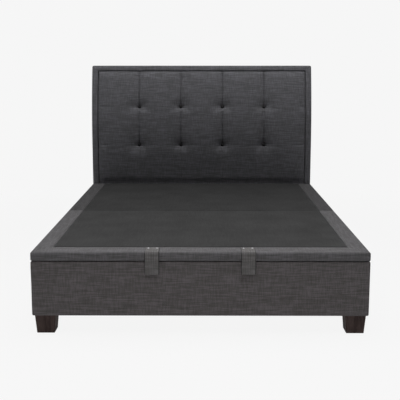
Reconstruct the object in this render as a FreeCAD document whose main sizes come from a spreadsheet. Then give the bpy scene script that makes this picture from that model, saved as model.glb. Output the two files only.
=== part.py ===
import FreeCAD, Part
import math
import os
import re

import Sketcher

# Ottoman bed with a lifting platform over a storage box, in millimetres.
# Origin: on the floor, at the middle of the bed's length and width.
# +X is the right side seen from the foot, +Y points at the headboard, +Z is up.

# Driving sizes
SIZES = {
    # The bed as a whole
    "bed_width": 1620,
    "deck_length": 2080,
    "leg_height": 95,
    "rail_height": 268,
    "closing_gap": 3,
    "platform_depth": 43,
    "head_gap": 6,
    "half_gap": 1,
    "cover_thickness": 4,
    "cover_round": 7,
    # Headboard, leaning back on an arc above the bend
    "headboard_height": 1280,
    "bend_height": 700,
    "bend_radius": 2000,
    "border_width": 45,
    "border_round": 9,
    "foam_depth": 40,
    "core_thickness": 18,
    "core_inset": 6,
    "back_cover_play": 0.2,
    "back_cover_thickness": 1.8,
    "back_cover_inset": 4,
    "cushion_foot": 347,
    "cushion_gap": 2.5,
    "cushion_crown": 6,
    "cushion_round": 15,
    "seam_depth": 3,
    # Covered buttons, set in dimples on the four seams
    "button_pitch": 306.5,
    "button_row_low": 697,
    "button_row_high": 979,
    "button_radius": 12.5,
    "button_edge": 4,
    "button_dome": 4,
    "button_play": 0.4,
    "dimple_radius": 62,
    "dimple_depth": 15,
    "button_seat": 17,
    # Rails of the base
    "rail_thickness": 30,
    "cover_lip": 22,
    "head_rail_thickness": 26,
    "head_rail_height": 245,
    # Corners and legs
    "block_side": 100,
    "block_height": 30,
    "leg_top": 100,
    "leg_bottom": 86,
    "leg_inset": 11,
    "leg_round": 5,
    "glide_height": 4,
    "glide_radius": 30,
    "leg_bolt_radius": 4,
    "leg_bolt_depth": 45,
    "leg_bolt_play": 0.2,
    "angle_width": 50,
    "angle_thickness": 3,
    "angle_height": 150,
    "angle_rise": 60,
    "bolt_head_radius": 7,
    "bolt_head_height": 4,
    # Storage floor
    "floor_thickness": 6,
    "floor_play": 1,
    "ledge_width": 20,
    "ledge_height": 22,
    "beam_width": 44,
    "beam_height": 24,
    "bearer_width": 60,
    "centre_leg_radius": 25,
    # Rubber buffers on the side rails
    "buffer_radius": 9,
    "buffer_clearance": 0.3,
    # Platform timber
    "deck_board_thickness": 9,
    "cloth_thickness": 4,
    "deck_border": 90,
    "front_border": 108,
    "frame_side_width": 66,
    "cross_rail_width": 70,
    "slat_width": 60,
    "slat_thickness": 18,
    "joining_plate_length": 180,
    "joining_plate_width": 36,
    "joining_plate_thickness": 3,
    # Pull straps
    "strap_spacing": 460,
    "strap_width": 69,
    "strap_thickness": 4,
    "strap_drop": 112,
    "strap_sewn": 82,
    "strap_play": 0.3,
    "tack_radius": 5,
    "tack_height": 1.5,
    "tack_spacing": 42,
    "tack_inset": 12,
    # Lift pivots: forward of the platform's head end, and below its underside
    "arm_foot_forward": 516,
    "arm_foot_drop": 35,
    "arm_head_forward": 239,
    "arm_head_drop": 30,
    "link_foot_forward": 813,
    "link_foot_drop": 154,
    "link_head_forward": 310,
    "link_head_drop": 84,
    "strut_half_span": 195,
    "strut_drop": 175,
    # Lift plates, layered inwards from the side rail
    "plate_thickness": 4,
    "arm_thickness": 5,
    "arm_gap": 0.5,
    "head_room": 2.7,
    "plate_round": 24,
    "arm_round": 20,
    "link_round": 16,
    "bracket_reach": 80,
    "bracket_top_drop": 20,
    "flange_width": 30,
    # Lift pins
    "pin_radius": 6,
    "pin_play": 0.08,
    "loose_play": 0.8,
    "pin_head_radius": 10,
    "pin_head_height": 2,
    "pin_head_gap": 0.3,
    "spacer_radius": 9,
    # Gas struts
    "strut_room": 2.6,
    "strut_tube_radius": 11,
    "strut_tube_length": 245,
    "strut_tube_start": 20,
    "strut_bore_depth": 225,
    "strut_rod_radius": 5,
    "strut_rod_start": 160,
    "strut_rod_play": 0.08,
    "strut_neck_radius": 5.2,
    "eye_radius": 10,
    "eye_width": 12,
    "stud_radius": 4.5,
}

# Counts, and places given as shares of a length
SLATS_PER_HALF = 3
BUFFER_SHARES = (0.12, 0.5, 0.9)
CENTRE_LEG_SHARES = (0.34, 0.68)
SEAM_STEPS = (-1.5, -0.5, 0.5, 1.5)
LOBES = len(SEAM_STEPS) + 1
HEX_SIDES = 6
ANGLE_BOLT_REACH_SHARE = 0.6
ANGLE_BOLT_HEIGHT_SHARES = {"low": 0.25, "high": 0.75}
FLOOR_JOINT_SHARE = 0.5

# How close two places count as the same
SAME_PLACE = 0.01

SIDES = ("left", "right")
SUM_CELL = "A1"
NODES = []

doc = FreeCAD.newDocument("ottoman_bed")
sheet = doc.addObject("Spreadsheet::Sheet", "Sizes")
for row, (word, size) in enumerate(SIZES.items(), start=1):
    sheet.set(f"A{row}", word)
    sheet.set(f"B{row}", str(size))
    sheet.setAlias(f"B{row}", word)
sums = doc.addObject("Spreadsheet::Sheet", "Sums")
doc.recompute()

# Heights and distances that several pieces share, as formulas of the sheet's sizes
RAIL_TOP = "(leg_height + rail_height)"
UNDERSIDE = "(leg_height + rail_height + closing_gap)"
FRAME_FOOT = f"({UNDERSIDE} + cover_thickness)"
DECK_TOP = f"({UNDERSIDE} + platform_depth)"
CLOTH_FOOT = f"({DECK_TOP} - cloth_thickness)"
DECK_BOARD_FOOT = f"({CLOTH_FOOT} - deck_board_thickness)"
FRAME_DEPTH = f"({DECK_BOARD_FOOT} - {FRAME_FOOT})"
INNER_X = "(bed_width / 2 - rail_thickness)"
INNER_WIDTH = "(bed_width - 2 * rail_thickness)"
BACK_COVER_DEPTH = "(foam_depth + core_thickness + back_cover_play)"
HEADBOARD_DEPTH = f"({BACK_COVER_DEPTH} + back_cover_thickness)"
LEAN_SINE = "((headboard_height - bend_height) / bend_radius)"
LEAN_DEPTH = f"(bend_radius - (bend_radius - {HEADBOARD_DEPTH}) * sqrt(1 - {LEAN_SINE} ^ 2))"
STRAP_STAND_OFF = "(strap_thickness + strap_play)"
TOTAL_LENGTH = f"({STRAP_STAND_OFF} + deck_length + head_gap + {LEAN_DEPTH})"
FRONT_Y = f"({STRAP_STAND_OFF} - {TOTAL_LENGTH} / 2)"
HEAD_Y = f"({FRONT_Y} + deck_length)"
BOARD_Y = f"({HEAD_Y} + head_gap)"
HALF_LENGTH = "((deck_length - half_gap) / 2)"
REAR_HALF_Y = f"({FRONT_Y} + {HALF_LENGTH} + half_gap)"
BASE_FRONT_Y = f"({FRONT_Y} + rail_thickness)"
BASE_HEAD_Y = f"({BOARD_Y} - head_rail_thickness)"
FLOOR_FOOT = "(leg_height + block_height)"

# Layers of the lift, as distances inwards from the side rail's inner face
ARM_LAYER = "(plate_thickness + arm_gap)"
BRACKET_LAYER = f"({ARM_LAYER} + arm_thickness + head_room)"
LINK_LAYER = f"({BRACKET_LAYER} + plate_thickness + arm_gap)"
STRUT_AXIS = f"({LINK_LAYER} + arm_thickness + head_room + strut_room + strut_tube_radius)"
EYE_LAYER = f"({STRUT_AXIS} - eye_width / 2)"
STRUT_SPAN = "(2 * strut_half_span)"


def linked(formula):
    """The formula with each size's word pointed at its cell."""
    def cell(word):
        return "Sizes." + word.group() if word.group() in SIZES else word.group()
    return re.sub(r"[a-z]\w*", cell, str(formula))


def number(formula):
    """A formula's value at the sheet's sizes, worked out in a cell of the sums sheet."""
    sums.set(SUM_CELL, "=" + linked(formula))
    sums.recompute()
    return float(sums.get(SUM_CELL))


def bind(thing, **formulas):
    for name, formula in formulas.items():
        thing.setExpression(name, linked(formula))
    return thing


def move_to(thing, x="0", y="0", z="0"):
    for axis, formula in (("x", x), ("y", y), ("z", z)):
        thing.setExpression("Placement.Base." + axis, linked(formula))
    return thing


def turn(thing, about, degrees):
    thing.Placement = FreeCAD.Placement(FreeCAD.Vector(), FreeCAD.Rotation(FreeCAD.Vector(*about), degrees))
    return thing


def keep(thing, name):
    """Marks a finished sub-part; its label names its file."""
    thing.Label = name
    NODES.append(thing)
    return thing


# Building blocks

def board(name, x, y, z, length, width, height):
    """A board with its low corner at (x, y, z)."""
    box = bind(doc.addObject("Part::Box", name), Length=length, Width=width, Height=height)
    return move_to(box, x, y, z)


def board_across(name, y, z, length, width, height):
    """A board that lies across the bed's middle line."""
    return board(name, f"-({length}) / 2", y, z, length, width, height)


ALONG = {"x": ((0, 1, 0), 90), "y": ((1, 0, 0), -90), "z": ((0, 0, 1), 0)}


def bar(name, axis, x, y, z, radius, length):
    """A round bar that runs from (x, y, z) along the axis."""
    cylinder = bind(doc.addObject("Part::Cylinder", name), Radius=radius, Height=length)
    turn(cylinder, *ALONG[axis])
    return move_to(cylinder, x, y, z)


def group(name, pieces):
    """Separate solids that share one sub-part."""
    compound = doc.addObject("Part::Compound", name)
    compound.Links = pieces
    return compound


def joined(name, pieces):
    fusion = doc.addObject("Part::MultiFuse", name)
    fusion.Shapes = pieces
    fusion.Refine = True
    return fusion


def cut(name, base, tool):
    result = doc.addObject("Part::Cut", name)
    result.Base = base
    result.Tool = tool
    return result


def rounded(name, base, radius, wanted):
    """The base with a fillet on each edge that the test accepts."""
    doc.recompute()
    fillet = doc.addObject("Part::Fillet", name)
    fillet.Base = base
    size = number(radius)
    fillet.Edges = [(i, size, size) for i, edge in enumerate(base.Shape.Edges, start=1) if wanted(edge)]
    return fillet


def middle(edge):
    return edge.valueAt((edge.FirstParameter + edge.LastParameter) / 2)


def near(a, b):
    return abs(a - b) < SAME_PLACE


def inboard(side, outer, depth):
    """Low x of a piece whose outer face is at distance outer from the middle, on that side."""
    return f"{outer} - ({depth})" if side == "right" else f"-({outer})"


def plane_of(body, role):
    return next(feature for feature in body.Origin.OriginFeatures if feature.Role == role)


def new_sketch(body, name, role):
    sketch = body.newObject("Sketcher::SketchObject", name)
    sketch.AttachmentSupport = [(plane_of(body, role), "")]
    sketch.MapMode = "FlatFace"
    return sketch


def fix(sketch, kind, *place, to):
    """Adds a constraint whose value is the formula."""
    index = sketch.addConstraint(Sketcher.Constraint(kind, *place, number(to)))
    sketch.setExpression(f"Constraints[{index}]", linked(to))


def join(sketch, kind, *place):
    sketch.addConstraint(Sketcher.Constraint(kind, *place))


# Headboard

def headboard_slab(name, near_depth, far_depth, foot, top, width):
    """A slab across the bed that follows the headboard: upright, then leaning back on the arc.

    Depths are measured behind the headboard's front face. The foot is level, and the top
    end points at the arc's centre; top is the height of its front edge.
    """
    body = doc.addObject("PartDesign::Body", name)
    sketch = side_profile(body, name + "_profile", near_depth, far_depth, foot, top)
    pad = body.newObject("PartDesign::Pad", name + "_pad")
    pad.Profile = sketch
    pad.Midplane = True
    bind(pad, Length=width)
    move_to(body, "0", BOARD_Y, "0")
    return body


def side_profile(body, name, near_depth, far_depth, foot, top):
    sketch = new_sketch(body, name, "YZ_Plane")
    centre_y, centre_z = number("bend_radius"), number("bend_height")
    near_y, far_y = number(near_depth), number(far_depth)
    foot_z, top_z = number(foot), number(top)
    lean = math.asin((top_z - centre_z) / (centre_y - near_y))

    def arc(depth):
        circle = Part.Circle(FreeCAD.Vector(centre_y, centre_z), FreeCAD.Vector(0, 0, 1), centre_y - depth)
        return Part.ArcOfCircle(circle, math.pi - lean, math.pi)

    def leaning(depth):
        reach = centre_y - depth
        return FreeCAD.Vector(centre_y - reach * math.cos(lean), centre_z + reach * math.sin(lean))

    def line(start, end):
        return sketch.addGeometry(Part.LineSegment(FreeCAD.Vector(*start), FreeCAD.Vector(*end)))

    front = line((near_y, foot_z), (near_y, centre_z))
    front_arc = sketch.addGeometry(arc(near_y))
    crest = line(leaning(near_y), leaning(far_y))
    back_arc = sketch.addGeometry(arc(far_y))
    back = line((far_y, centre_z), (far_y, foot_z))
    bottom = line((far_y, foot_z), (near_y, foot_z))
    join(sketch, "Tangent", front, 2, front_arc, 2)
    join(sketch, "Tangent", back, 1, back_arc, 2)
    join(sketch, "Coincident", front_arc, 1, crest, 1)
    join(sketch, "Coincident", crest, 2, back_arc, 1)
    join(sketch, "Coincident", back, 2, bottom, 1)
    join(sketch, "Coincident", bottom, 2, front, 1)
    join(sketch, "Vertical", front)
    join(sketch, "Vertical", back)
    join(sketch, "Horizontal", bottom)
    join(sketch, "Coincident", back_arc, 3, front_arc, 3)
    join(sketch, "PointOnObject", front_arc, 3, crest)
    fix(sketch, "DistanceX", -1, 1, front_arc, 3, to="bend_radius")
    fix(sketch, "DistanceY", -1, 1, front_arc, 3, to="bend_height")
    fix(sketch, "Radius", front_arc, to=f"bend_radius - ({near_depth})")
    fix(sketch, "Radius", back_arc, to=f"bend_radius - ({far_depth})")
    fix(sketch, "DistanceY", -1, 1, front_arc, 1, to=top)
    fix(sketch, "DistanceY", -1, 1, front, 1, to=foot)
    return sketch


def recess(body, name, near_depth, far_depth, foot, top, width):
    """Cuts a slab of the same run out of a headboard body."""
    sketch = side_profile(body, name + "_profile", near_depth, far_depth, foot, top)
    pocket = body.newObject("PartDesign::Pocket", name)
    pocket.Profile = sketch
    pocket.Midplane = True
    bind(pocket, Length=width)
    return pocket


def front_depth(point):
    """How far a point of the model lies behind the headboard's front face."""
    y = point.y - number(BOARD_Y)
    if point.z <= number("bend_height"):
        return y
    radius = number("bend_radius")
    return radius - math.hypot(y - radius, point.z - number("bend_height"))


def crest(depth, inset):
    """Height of the crest line's point at a depth, the line lowered by an inset at the front face."""
    rise = f"(headboard_height - ({inset}) - bend_height)"
    return f"(bend_height + {rise} * (bend_radius - ({depth})) / bend_radius)"


def make_border():
    """The plain padded border, one piece with the covered panel below the cushion."""
    body = headboard_slab("border_body", "0", "foam_depth + core_thickness", "leg_height",
                          "headboard_height", "bed_width")
    recess(body, "cushion_recess", "-border_round", "foam_depth", "cushion_foot - cushion_gap",
           "headboard_height - border_width", "bed_width - 2 * border_width")
    recess(body, "core_recess", "foam_depth", "foam_depth + core_thickness + border_round",
           "leg_height + core_inset", crest("foam_depth", "core_inset"), "bed_width - 2 * core_inset")

    def outer_front(edge):
        point = middle(edge)
        on_side = near(abs(point.x), number("bed_width / 2"))
        on_top = point.z > number("headboard_height - core_inset / 2")
        return (on_side or on_top) and near(front_depth(point), 0)

    keep(rounded("headboard_border_solid", body, "border_round", outer_front), "headboard_border")


def cushion_section(body):
    """Plan section: five crowned channels between sewn seams, drawn in at the sides."""
    sketch = new_sketch(body, "cushion_section", "XY_Plane")
    width = "(bed_width - 2 * border_width - 2 * cushion_gap)"
    seams = [f"{step} * button_pitch" for step in SEAM_STEPS]
    places = [f"-{width} / 2"] + seams + [f"{width} / 2"]
    seam_y = "(bend_radius - seam_depth)"
    back_y = "(bend_radius - foam_depth)"
    points = [FreeCAD.Vector(number(place), -number(seam_y)) for place in places]
    back = [FreeCAD.Vector(point.x, -number(back_y)) for point in (points[0], points[-1])]
    rises = []
    for start, end in zip(points, points[1:]):
        peak = FreeCAD.Vector((start.x + end.x) / 2, start.y - number("cushion_crown"))
        rises.append(sketch.addGeometry(Part.Arc(start, peak, end)))
    right = sketch.addGeometry(Part.LineSegment(points[-1], back[1]))
    behind = sketch.addGeometry(Part.LineSegment(back[1], back[0]))
    left = sketch.addGeometry(Part.LineSegment(back[0], points[0]))
    ends = [arc_ends(sketch, rise) for rise in rises]
    for (_, first_end), (next_start, _), rise, following in zip(ends, ends[1:], rises, rises[1:]):
        join(sketch, "Coincident", rise, first_end, following, next_start)
    join(sketch, "Coincident", rises[-1], ends[-1][1], right, 1)
    join(sketch, "Coincident", right, 2, behind, 1)
    join(sketch, "Coincident", behind, 2, left, 1)
    join(sketch, "Coincident", left, 2, rises[0], ends[0][0])
    join(sketch, "Vertical", right)
    join(sketch, "Vertical", left)
    join(sketch, "Horizontal", behind)
    fix(sketch, "DistanceY", behind, 1, -1, 1, to=back_y)
    for index, place in enumerate(places):
        rise, which = (rises[index], ends[index][0]) if index < LOBES else (rises[-1], ends[-1][1])
        fix(sketch, "DistanceX", -1, 1, rise, which, to=place)
        fix(sketch, "DistanceY", rise, which, -1, 1, to=seam_y)
    for rise, start, end in zip(rises, places, places[1:]):
        span = f"(({end}) - ({start}))"
        fix(sketch, "Radius", rise, to=f"({span} ^ 2 / 4 + cushion_crown ^ 2) / (2 * cushion_crown)")
    return sketch


def arc_ends(sketch, index):
    """Which of an arc's two points is its left end and which its right end."""
    arc = sketch.Geometry[index]
    return (1, 2) if arc.StartPoint.x < arc.EndPoint.x else (2, 1)


CUSHION_TOP = "(headboard_height - border_width - cushion_gap)"


def make_cushion():
    """Channels swept up the headboard, rounded at the rim, with a dimple for each button."""
    swept = doc.addObject("PartDesign::Body", "cushion_channels")
    section = cushion_section(swept)
    for axis, place in (("y", "bend_radius"), ("z", "bend_height")):
        section.setExpression("AttachmentOffset.Base." + axis, linked(place))
    upright = swept.newObject("PartDesign::Pad", "cushion_upright")
    upright.Profile = section
    upright.Reversed = True
    bind(upright, Length="bend_height - cushion_foot")
    leaning = swept.newObject("PartDesign::Revolution", "cushion_leaning")
    leaning.Profile = section
    leaning.ReferenceAxis = (section, ["H_Axis"])
    leaning.Reversed = True
    bind(leaning, Angle=f"asin(({CUSHION_TOP} - bend_height) / bend_radius)")
    move_to(swept, "0", BOARD_Y, "0")
    envelope = headboard_slab("cushion_envelope", "-cushion_crown", "foam_depth", "cushion_foot", CUSHION_TOP,
                              "bed_width - 2 * border_width - 2 * cushion_gap")
    pillow = rounded("cushion_pillow", envelope, "cushion_round",
                     lambda edge: near(front_depth(middle(edge)), -number("cushion_crown")))
    shaped = doc.addObject("Part::Common", "cushion_shaped")
    shaped.Base = swept
    shaped.Tool = pillow
    keep(cut("headboard_cushion_solid", shaped, group("dimples", dimple_cutters())), "headboard_cushion")


def on_headboard(thing, x, height, depth):
    """Stands a turned piece on the headboard, its own Z pointing straight out of the front face."""
    sine = f"(max({height} - bend_height; 0) / bend_radius)"
    reach = f"(bend_radius - ({depth}))"
    turn(thing, (1, 0, 0), 90)
    thing.setExpression("Placement.Rotation.Angle", linked(f"90deg - asin({sine})"))
    return move_to(thing, x, f"{BOARD_Y} + bend_radius - {reach} * sqrt(1 - {sine} ^ 2)",
                   f"{height} - ({depth}) * {sine}")


def button_places():
    for row in ("button_row_low", "button_row_high"):
        for step in SEAM_STEPS:
            yield f"{step} * button_pitch", row


def dimple_cutters():
    """At each button, a ball that sinks a soft dimple and a bar that sinks the button's seat."""
    cutters = []
    ball = "((dimple_radius ^ 2 + dimple_depth ^ 2) / (2 * dimple_depth))"
    for index, (x, row) in enumerate(button_places()):
        sphere = bind(doc.addObject("Part::Sphere", f"dimple_{index}"), Radius=ball)
        on_headboard(sphere, x, row, f"dimple_depth - {ball}")
        seat = bind(doc.addObject("Part::Cylinder", f"seat_{index}"), Radius="button_radius + button_play",
                    Height="button_seat + cushion_crown")
        on_headboard(seat, x, row, "button_seat")
        cutters += [sphere, seat]
    return cutters


def make_buttons():
    """Domed fabric-covered buttons: a short drum under the cap of a ball."""
    buttons = []
    ball = "((button_radius ^ 2 + button_dome ^ 2) / (2 * button_dome))"
    for index, (x, row) in enumerate(button_places()):
        drum = bind(doc.addObject("Part::Cylinder", f"button_drum_{index}"), Radius="button_radius",
                    Height="button_edge + button_dome")
        on_headboard(drum, x, row, "button_seat")
        sphere = bind(doc.addObject("Part::Sphere", f"button_ball_{index}"), Radius=ball)
        on_headboard(sphere, x, row, f"button_seat - button_edge - button_dome + {ball}")
        dome = doc.addObject("Part::Common", f"button_{index}")
        dome.Base = drum
        dome.Tool = sphere
        buttons.append(dome)
    keep(group("headboard_buttons_group", buttons), "headboard_buttons")


def make_headboard():
    make_border()
    make_cushion()
    make_buttons()
    keep(headboard_slab("core_body", "foam_depth", "foam_depth + core_thickness", "leg_height + core_inset",
                        crest("foam_depth", "core_inset"), "bed_width - 2 * core_inset"), "headboard_core")
    keep(headboard_slab("back_cover_body", BACK_COVER_DEPTH, HEADBOARD_DEPTH,
                        "leg_height + back_cover_inset", crest(BACK_COVER_DEPTH, "back_cover_inset"),
                        "bed_width - 2 * back_cover_inset"), "headboard_back_cover")


# Rails of the base, each a board in a fabric cover

RAIL_BOARD_FOOT = "leg_height + cover_thickness"
RAIL_BOARD_HEIGHT = "rail_height - 2 * cover_thickness"
RAIL_BOARD_THICKNESS = "(rail_thickness - cover_thickness)"
SIDE_RAIL_LENGTH = f"({BOARD_Y} - {BASE_FRONT_Y})"


def make_foot_rail():
    keep(board_across("foot_board", f"{FRONT_Y} + cover_thickness", RAIL_BOARD_FOOT,
                      "bed_width - 2 * cover_thickness", RAIL_BOARD_THICKNESS, RAIL_BOARD_HEIGHT),
         "foot_rail_board")
    outside = board_across("foot_cover_outside", FRONT_Y, "leg_height", "bed_width", "rail_thickness",
                           "rail_height")
    front, half = number(FRONT_Y), number("bed_width / 2")
    soft = rounded("foot_cover_soft", outside, "cover_round",
                   lambda edge: near(middle(edge).y, front) or (near(abs(middle(edge).x), half)
                                                                and not edge_at_back(edge, BASE_FRONT_Y)))
    inside = board_across("foot_cover_inside", f"{FRONT_Y} + cover_thickness", RAIL_BOARD_FOOT,
                          "bed_width - 2 * cover_thickness", "rail_thickness", RAIL_BOARD_HEIGHT)
    keep(cut("foot_cover", soft, inside), "foot_rail_cover")


def edge_at_back(edge, y):
    return near(middle(edge).y, number(y))


def make_side_rails():
    for side in SIDES:
        outer = "bed_width / 2"
        keep(board(f"side_board_{side}", inboard(side, f"{outer} - cover_thickness", RAIL_BOARD_THICKNESS),
                   BASE_FRONT_Y, RAIL_BOARD_FOOT, RAIL_BOARD_THICKNESS, SIDE_RAIL_LENGTH, RAIL_BOARD_HEIGHT),
             f"side_rail_board_{side}")
        outside = board(f"side_cover_outside_{side}", inboard(side, outer, "rail_thickness"), BASE_FRONT_Y,
                        "leg_height", "rail_thickness", SIDE_RAIL_LENGTH, "rail_height")
        half, ends = number(outer), number(SIDE_RAIL_LENGTH)
        soft = rounded(f"side_cover_soft_{side}", outside, "cover_round",
                       lambda edge: near(abs(middle(edge).x), half) and near(edge.Length, ends))
        inside = board(f"side_cover_inside_{side}",
                       inboard(side, f"{outer} - cover_thickness", "rail_thickness"),
                       BASE_FRONT_Y, RAIL_BOARD_FOOT, "rail_thickness", SIDE_RAIL_LENGTH, RAIL_BOARD_HEIGHT)
        keep(cut(f"side_cover_{side}", soft, inside), f"side_rail_cover_{side}")
    keep(board_across("head_board", BASE_HEAD_Y, "leg_height", INNER_WIDTH, "head_rail_thickness",
                      "head_rail_height"), "head_rail")


# Corners and legs

BLOCK_X = INNER_X
LEG_X = "(bed_width / 2 - leg_inset - leg_top / 2)"
LEG_END_Y = {
    "front": f"({FRONT_Y} + leg_inset + leg_top / 2)",
    "rear": f"({BOARD_Y} - leg_inset - leg_top / 2)",
}
BLOCK_Y = {"front": BASE_FRONT_Y, "rear": f"({BASE_HEAD_Y} - block_side)"}
SIGN = {"left": "-1", "right": "1"}


def square_sketch(body, name, side, height):
    """A square about the body's own Z axis, at a height."""
    sketch = new_sketch(body, name, "XY_Plane")
    sketch.setExpression("AttachmentOffset.Base.z", linked(height))
    half = number(side) / 2
    corners = [FreeCAD.Vector(x, y) for x, y in ((-half, -half), (half, -half), (half, half), (-half, half))]
    lines = [sketch.addGeometry(Part.LineSegment(start, end))
             for start, end in zip(corners, corners[1:] + corners[:1])]
    for line, following in zip(lines, lines[1:] + lines[:1]):
        join(sketch, "Coincident", line, 2, following, 1)
    for line, kind in zip(lines, ("Horizontal", "Vertical", "Horizontal", "Vertical")):
        join(sketch, kind, line)
    join(sketch, "Symmetric", lines[0], 1, lines[2], 1, -1, 1)
    fix(sketch, "DistanceX", lines[0], 1, lines[0], 2, to=side)
    fix(sketch, "DistanceY", lines[1], 1, lines[1], 2, to=side)
    return sketch


def make_leg(side, end):
    """A tapered square block with its four long corners eased and a bolt hole in its top."""
    name = f"leg_{end}_{side}"
    body = doc.addObject("PartDesign::Body", name)
    foot = square_sketch(body, name + "_foot", "leg_bottom", "glide_height")
    block = body.newObject("PartDesign::Pad", name + "_block")
    block.Profile = foot
    bind(block, Length="leg_height - glide_height",
         TaperAngle="atan((leg_top - leg_bottom) / 2 / (leg_height - glide_height))")
    doc.recompute()
    low, high = number("glide_height"), number("leg_height")
    corners = [f"Edge{i}" for i, edge in enumerate(block.Shape.Edges, start=1)
               if low < middle(edge).z < high]
    eased = body.newObject("PartDesign::Fillet", name + "_eased")
    eased.Base = (block, corners)
    bind(eased, Radius="leg_round")
    hole_sketch = new_sketch(body, name + "_hole", "XY_Plane")
    hole_sketch.setExpression("AttachmentOffset.Base.z", linked("leg_height"))
    circle = hole_sketch.addGeometry(Part.Circle(FreeCAD.Vector(), FreeCAD.Vector(0, 0, 1),
                                                 number("leg_bolt_radius + leg_bolt_play")))
    join(hole_sketch, "Coincident", circle, 3, -1, 1)
    fix(hole_sketch, "Radius", circle, to="leg_bolt_radius + leg_bolt_play")
    hole = body.newObject("PartDesign::Pocket", name + "_bolt_hole")
    hole.Profile = hole_sketch
    bind(hole, Length="leg_bolt_depth")
    body.Tip = hole
    keep(move_to(body, f"{SIGN[side]} * {LEG_X}", LEG_END_Y[end], "0"), name)


def make_corners():
    blocks, bolts, glides, angles = [], [], [], []
    for end in ("front", "rear"):
        for side in SIDES:
            tag = f"{end}_{side}"
            x, y = f"{SIGN[side]} * {LEG_X}", LEG_END_Y[end]
            make_leg(side, end)
            block = board(f"block_{tag}", inboard(side, BLOCK_X, "block_side"), BLOCK_Y[end], "leg_height",
                          "block_side", "block_side", "block_height")
            hole = bar(f"block_hole_{tag}", "z", x, y, "leg_height", "leg_bolt_radius + leg_bolt_play",
                       "block_height")
            blocks.append(cut(f"corner_block_{tag}", block, hole))
            bolts.append(bar(f"leg_bolt_{tag}", "z", x, y, "leg_height - leg_bolt_depth", "leg_bolt_radius",
                             "leg_bolt_depth + block_height"))
            glides.append(bar(f"glide_{tag}", "z", x, y, "0", "glide_radius", "glide_height"))
            angles.append(corner_angle(side, end))
    for index, share in enumerate(CENTRE_LEG_SHARES):
        glides.append(bar(f"centre_glide_{index}", "z", "0", beam_place(share), "0",
                          "centre_leg_radius - cover_thickness", "glide_height"))
    keep(group("corner_blocks_group", blocks), "corner_blocks")
    keep(group("leg_bolts_group", bolts), "leg_bolts")
    keep(group("leg_glides_group", glides), "leg_glides")
    keep(group("corner_angles_group", angles), "corner_brackets")


def corner_angle(side, end):
    """A steel angle screwed into the inside of a corner."""
    tag = f"{end}_{side}"
    foot = "leg_height + angle_rise"
    inner_y = BASE_FRONT_Y if end == "front" else f"({BASE_HEAD_Y} - angle_width)"
    face_y = BASE_FRONT_Y if end == "front" else f"({BASE_HEAD_Y} - angle_thickness)"
    along = board(f"angle_along_{tag}", inboard(side, INNER_X, "angle_thickness"), inner_y, foot,
                  "angle_thickness", "angle_width", "angle_height")
    across = board(f"angle_across_{tag}", inboard(side, INNER_X, "angle_width"), face_y, foot,
                   "angle_width", "angle_thickness", "angle_height")
    return joined(f"angle_{tag}", [along, across])


def hex_head(name, axis, x, y, z):
    """A hexagon bolt head that stands on a face and points along the axis."""
    head = doc.addObject("Part::Prism", name)
    head.Polygon = HEX_SIDES
    bind(head, Circumradius="bolt_head_radius", Height="bolt_head_height")
    turn(head, *ALONG[axis])
    return move_to(head, x, y, z)


def angle_bolts(side, end, level, share):
    """The two bolt heads at one height of a corner angle, one in each of its plates."""
    tag = f"{end}_{side}_{level}"
    reach = f"angle_width * {ANGLE_BOLT_REACH_SHARE}"
    z = f"leg_height + angle_rise + angle_height * {share}"
    along_x = inboard(side, f"({INNER_X} - angle_thickness)", "bolt_head_height")
    across_x = f"{SIGN[side]} * ({INNER_X} - {reach})"
    if end == "front":
        along_y = f"{BASE_FRONT_Y} + {reach}"
        across_y = f"{BASE_FRONT_Y} + angle_thickness"
    else:
        along_y = f"{BASE_HEAD_Y} - {reach}"
        across_y = f"{BASE_HEAD_Y} - angle_thickness - bolt_head_height"
    return [hex_head(f"head_along_{tag}", "x", along_x, along_y, z),
            hex_head(f"head_across_{tag}", "y", across_x, across_y, z)]


def make_frame_bolts():
    """Bolt heads on the corner angles and on the lift's base brackets."""
    heads = []
    for end in ("front", "rear"):
        for side in SIDES:
            for level, share in ANGLE_BOLT_HEIGHT_SHARES.items():
                heads += angle_bolts(side, end, level, share)
    for side in SIDES:
        for index, (forward, drop) in enumerate(bracket_bolts()):
            heads.append(hex_head(f"head_bracket_{side}_{index}", "x",
                                  inboard(side, f"({INNER_X} - plate_thickness)", "bolt_head_height"),
                                  f"{HEAD_Y} - ({forward})", f"{UNDERSIDE} - ({drop})"))
    keep(group("frame_bolts_group", heads), "frame_bolts")


# Storage floor on ledges, a centre beam and bearers

BEAM_FOOT = f"({FLOOR_FOOT} - beam_height)"
FLOOR_LENGTH = f"({BASE_HEAD_Y} - {BASE_FRONT_Y})"


def beam_place(share):
    return f"({BASE_FRONT_Y} + {FLOOR_LENGTH} * {share})"


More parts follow.
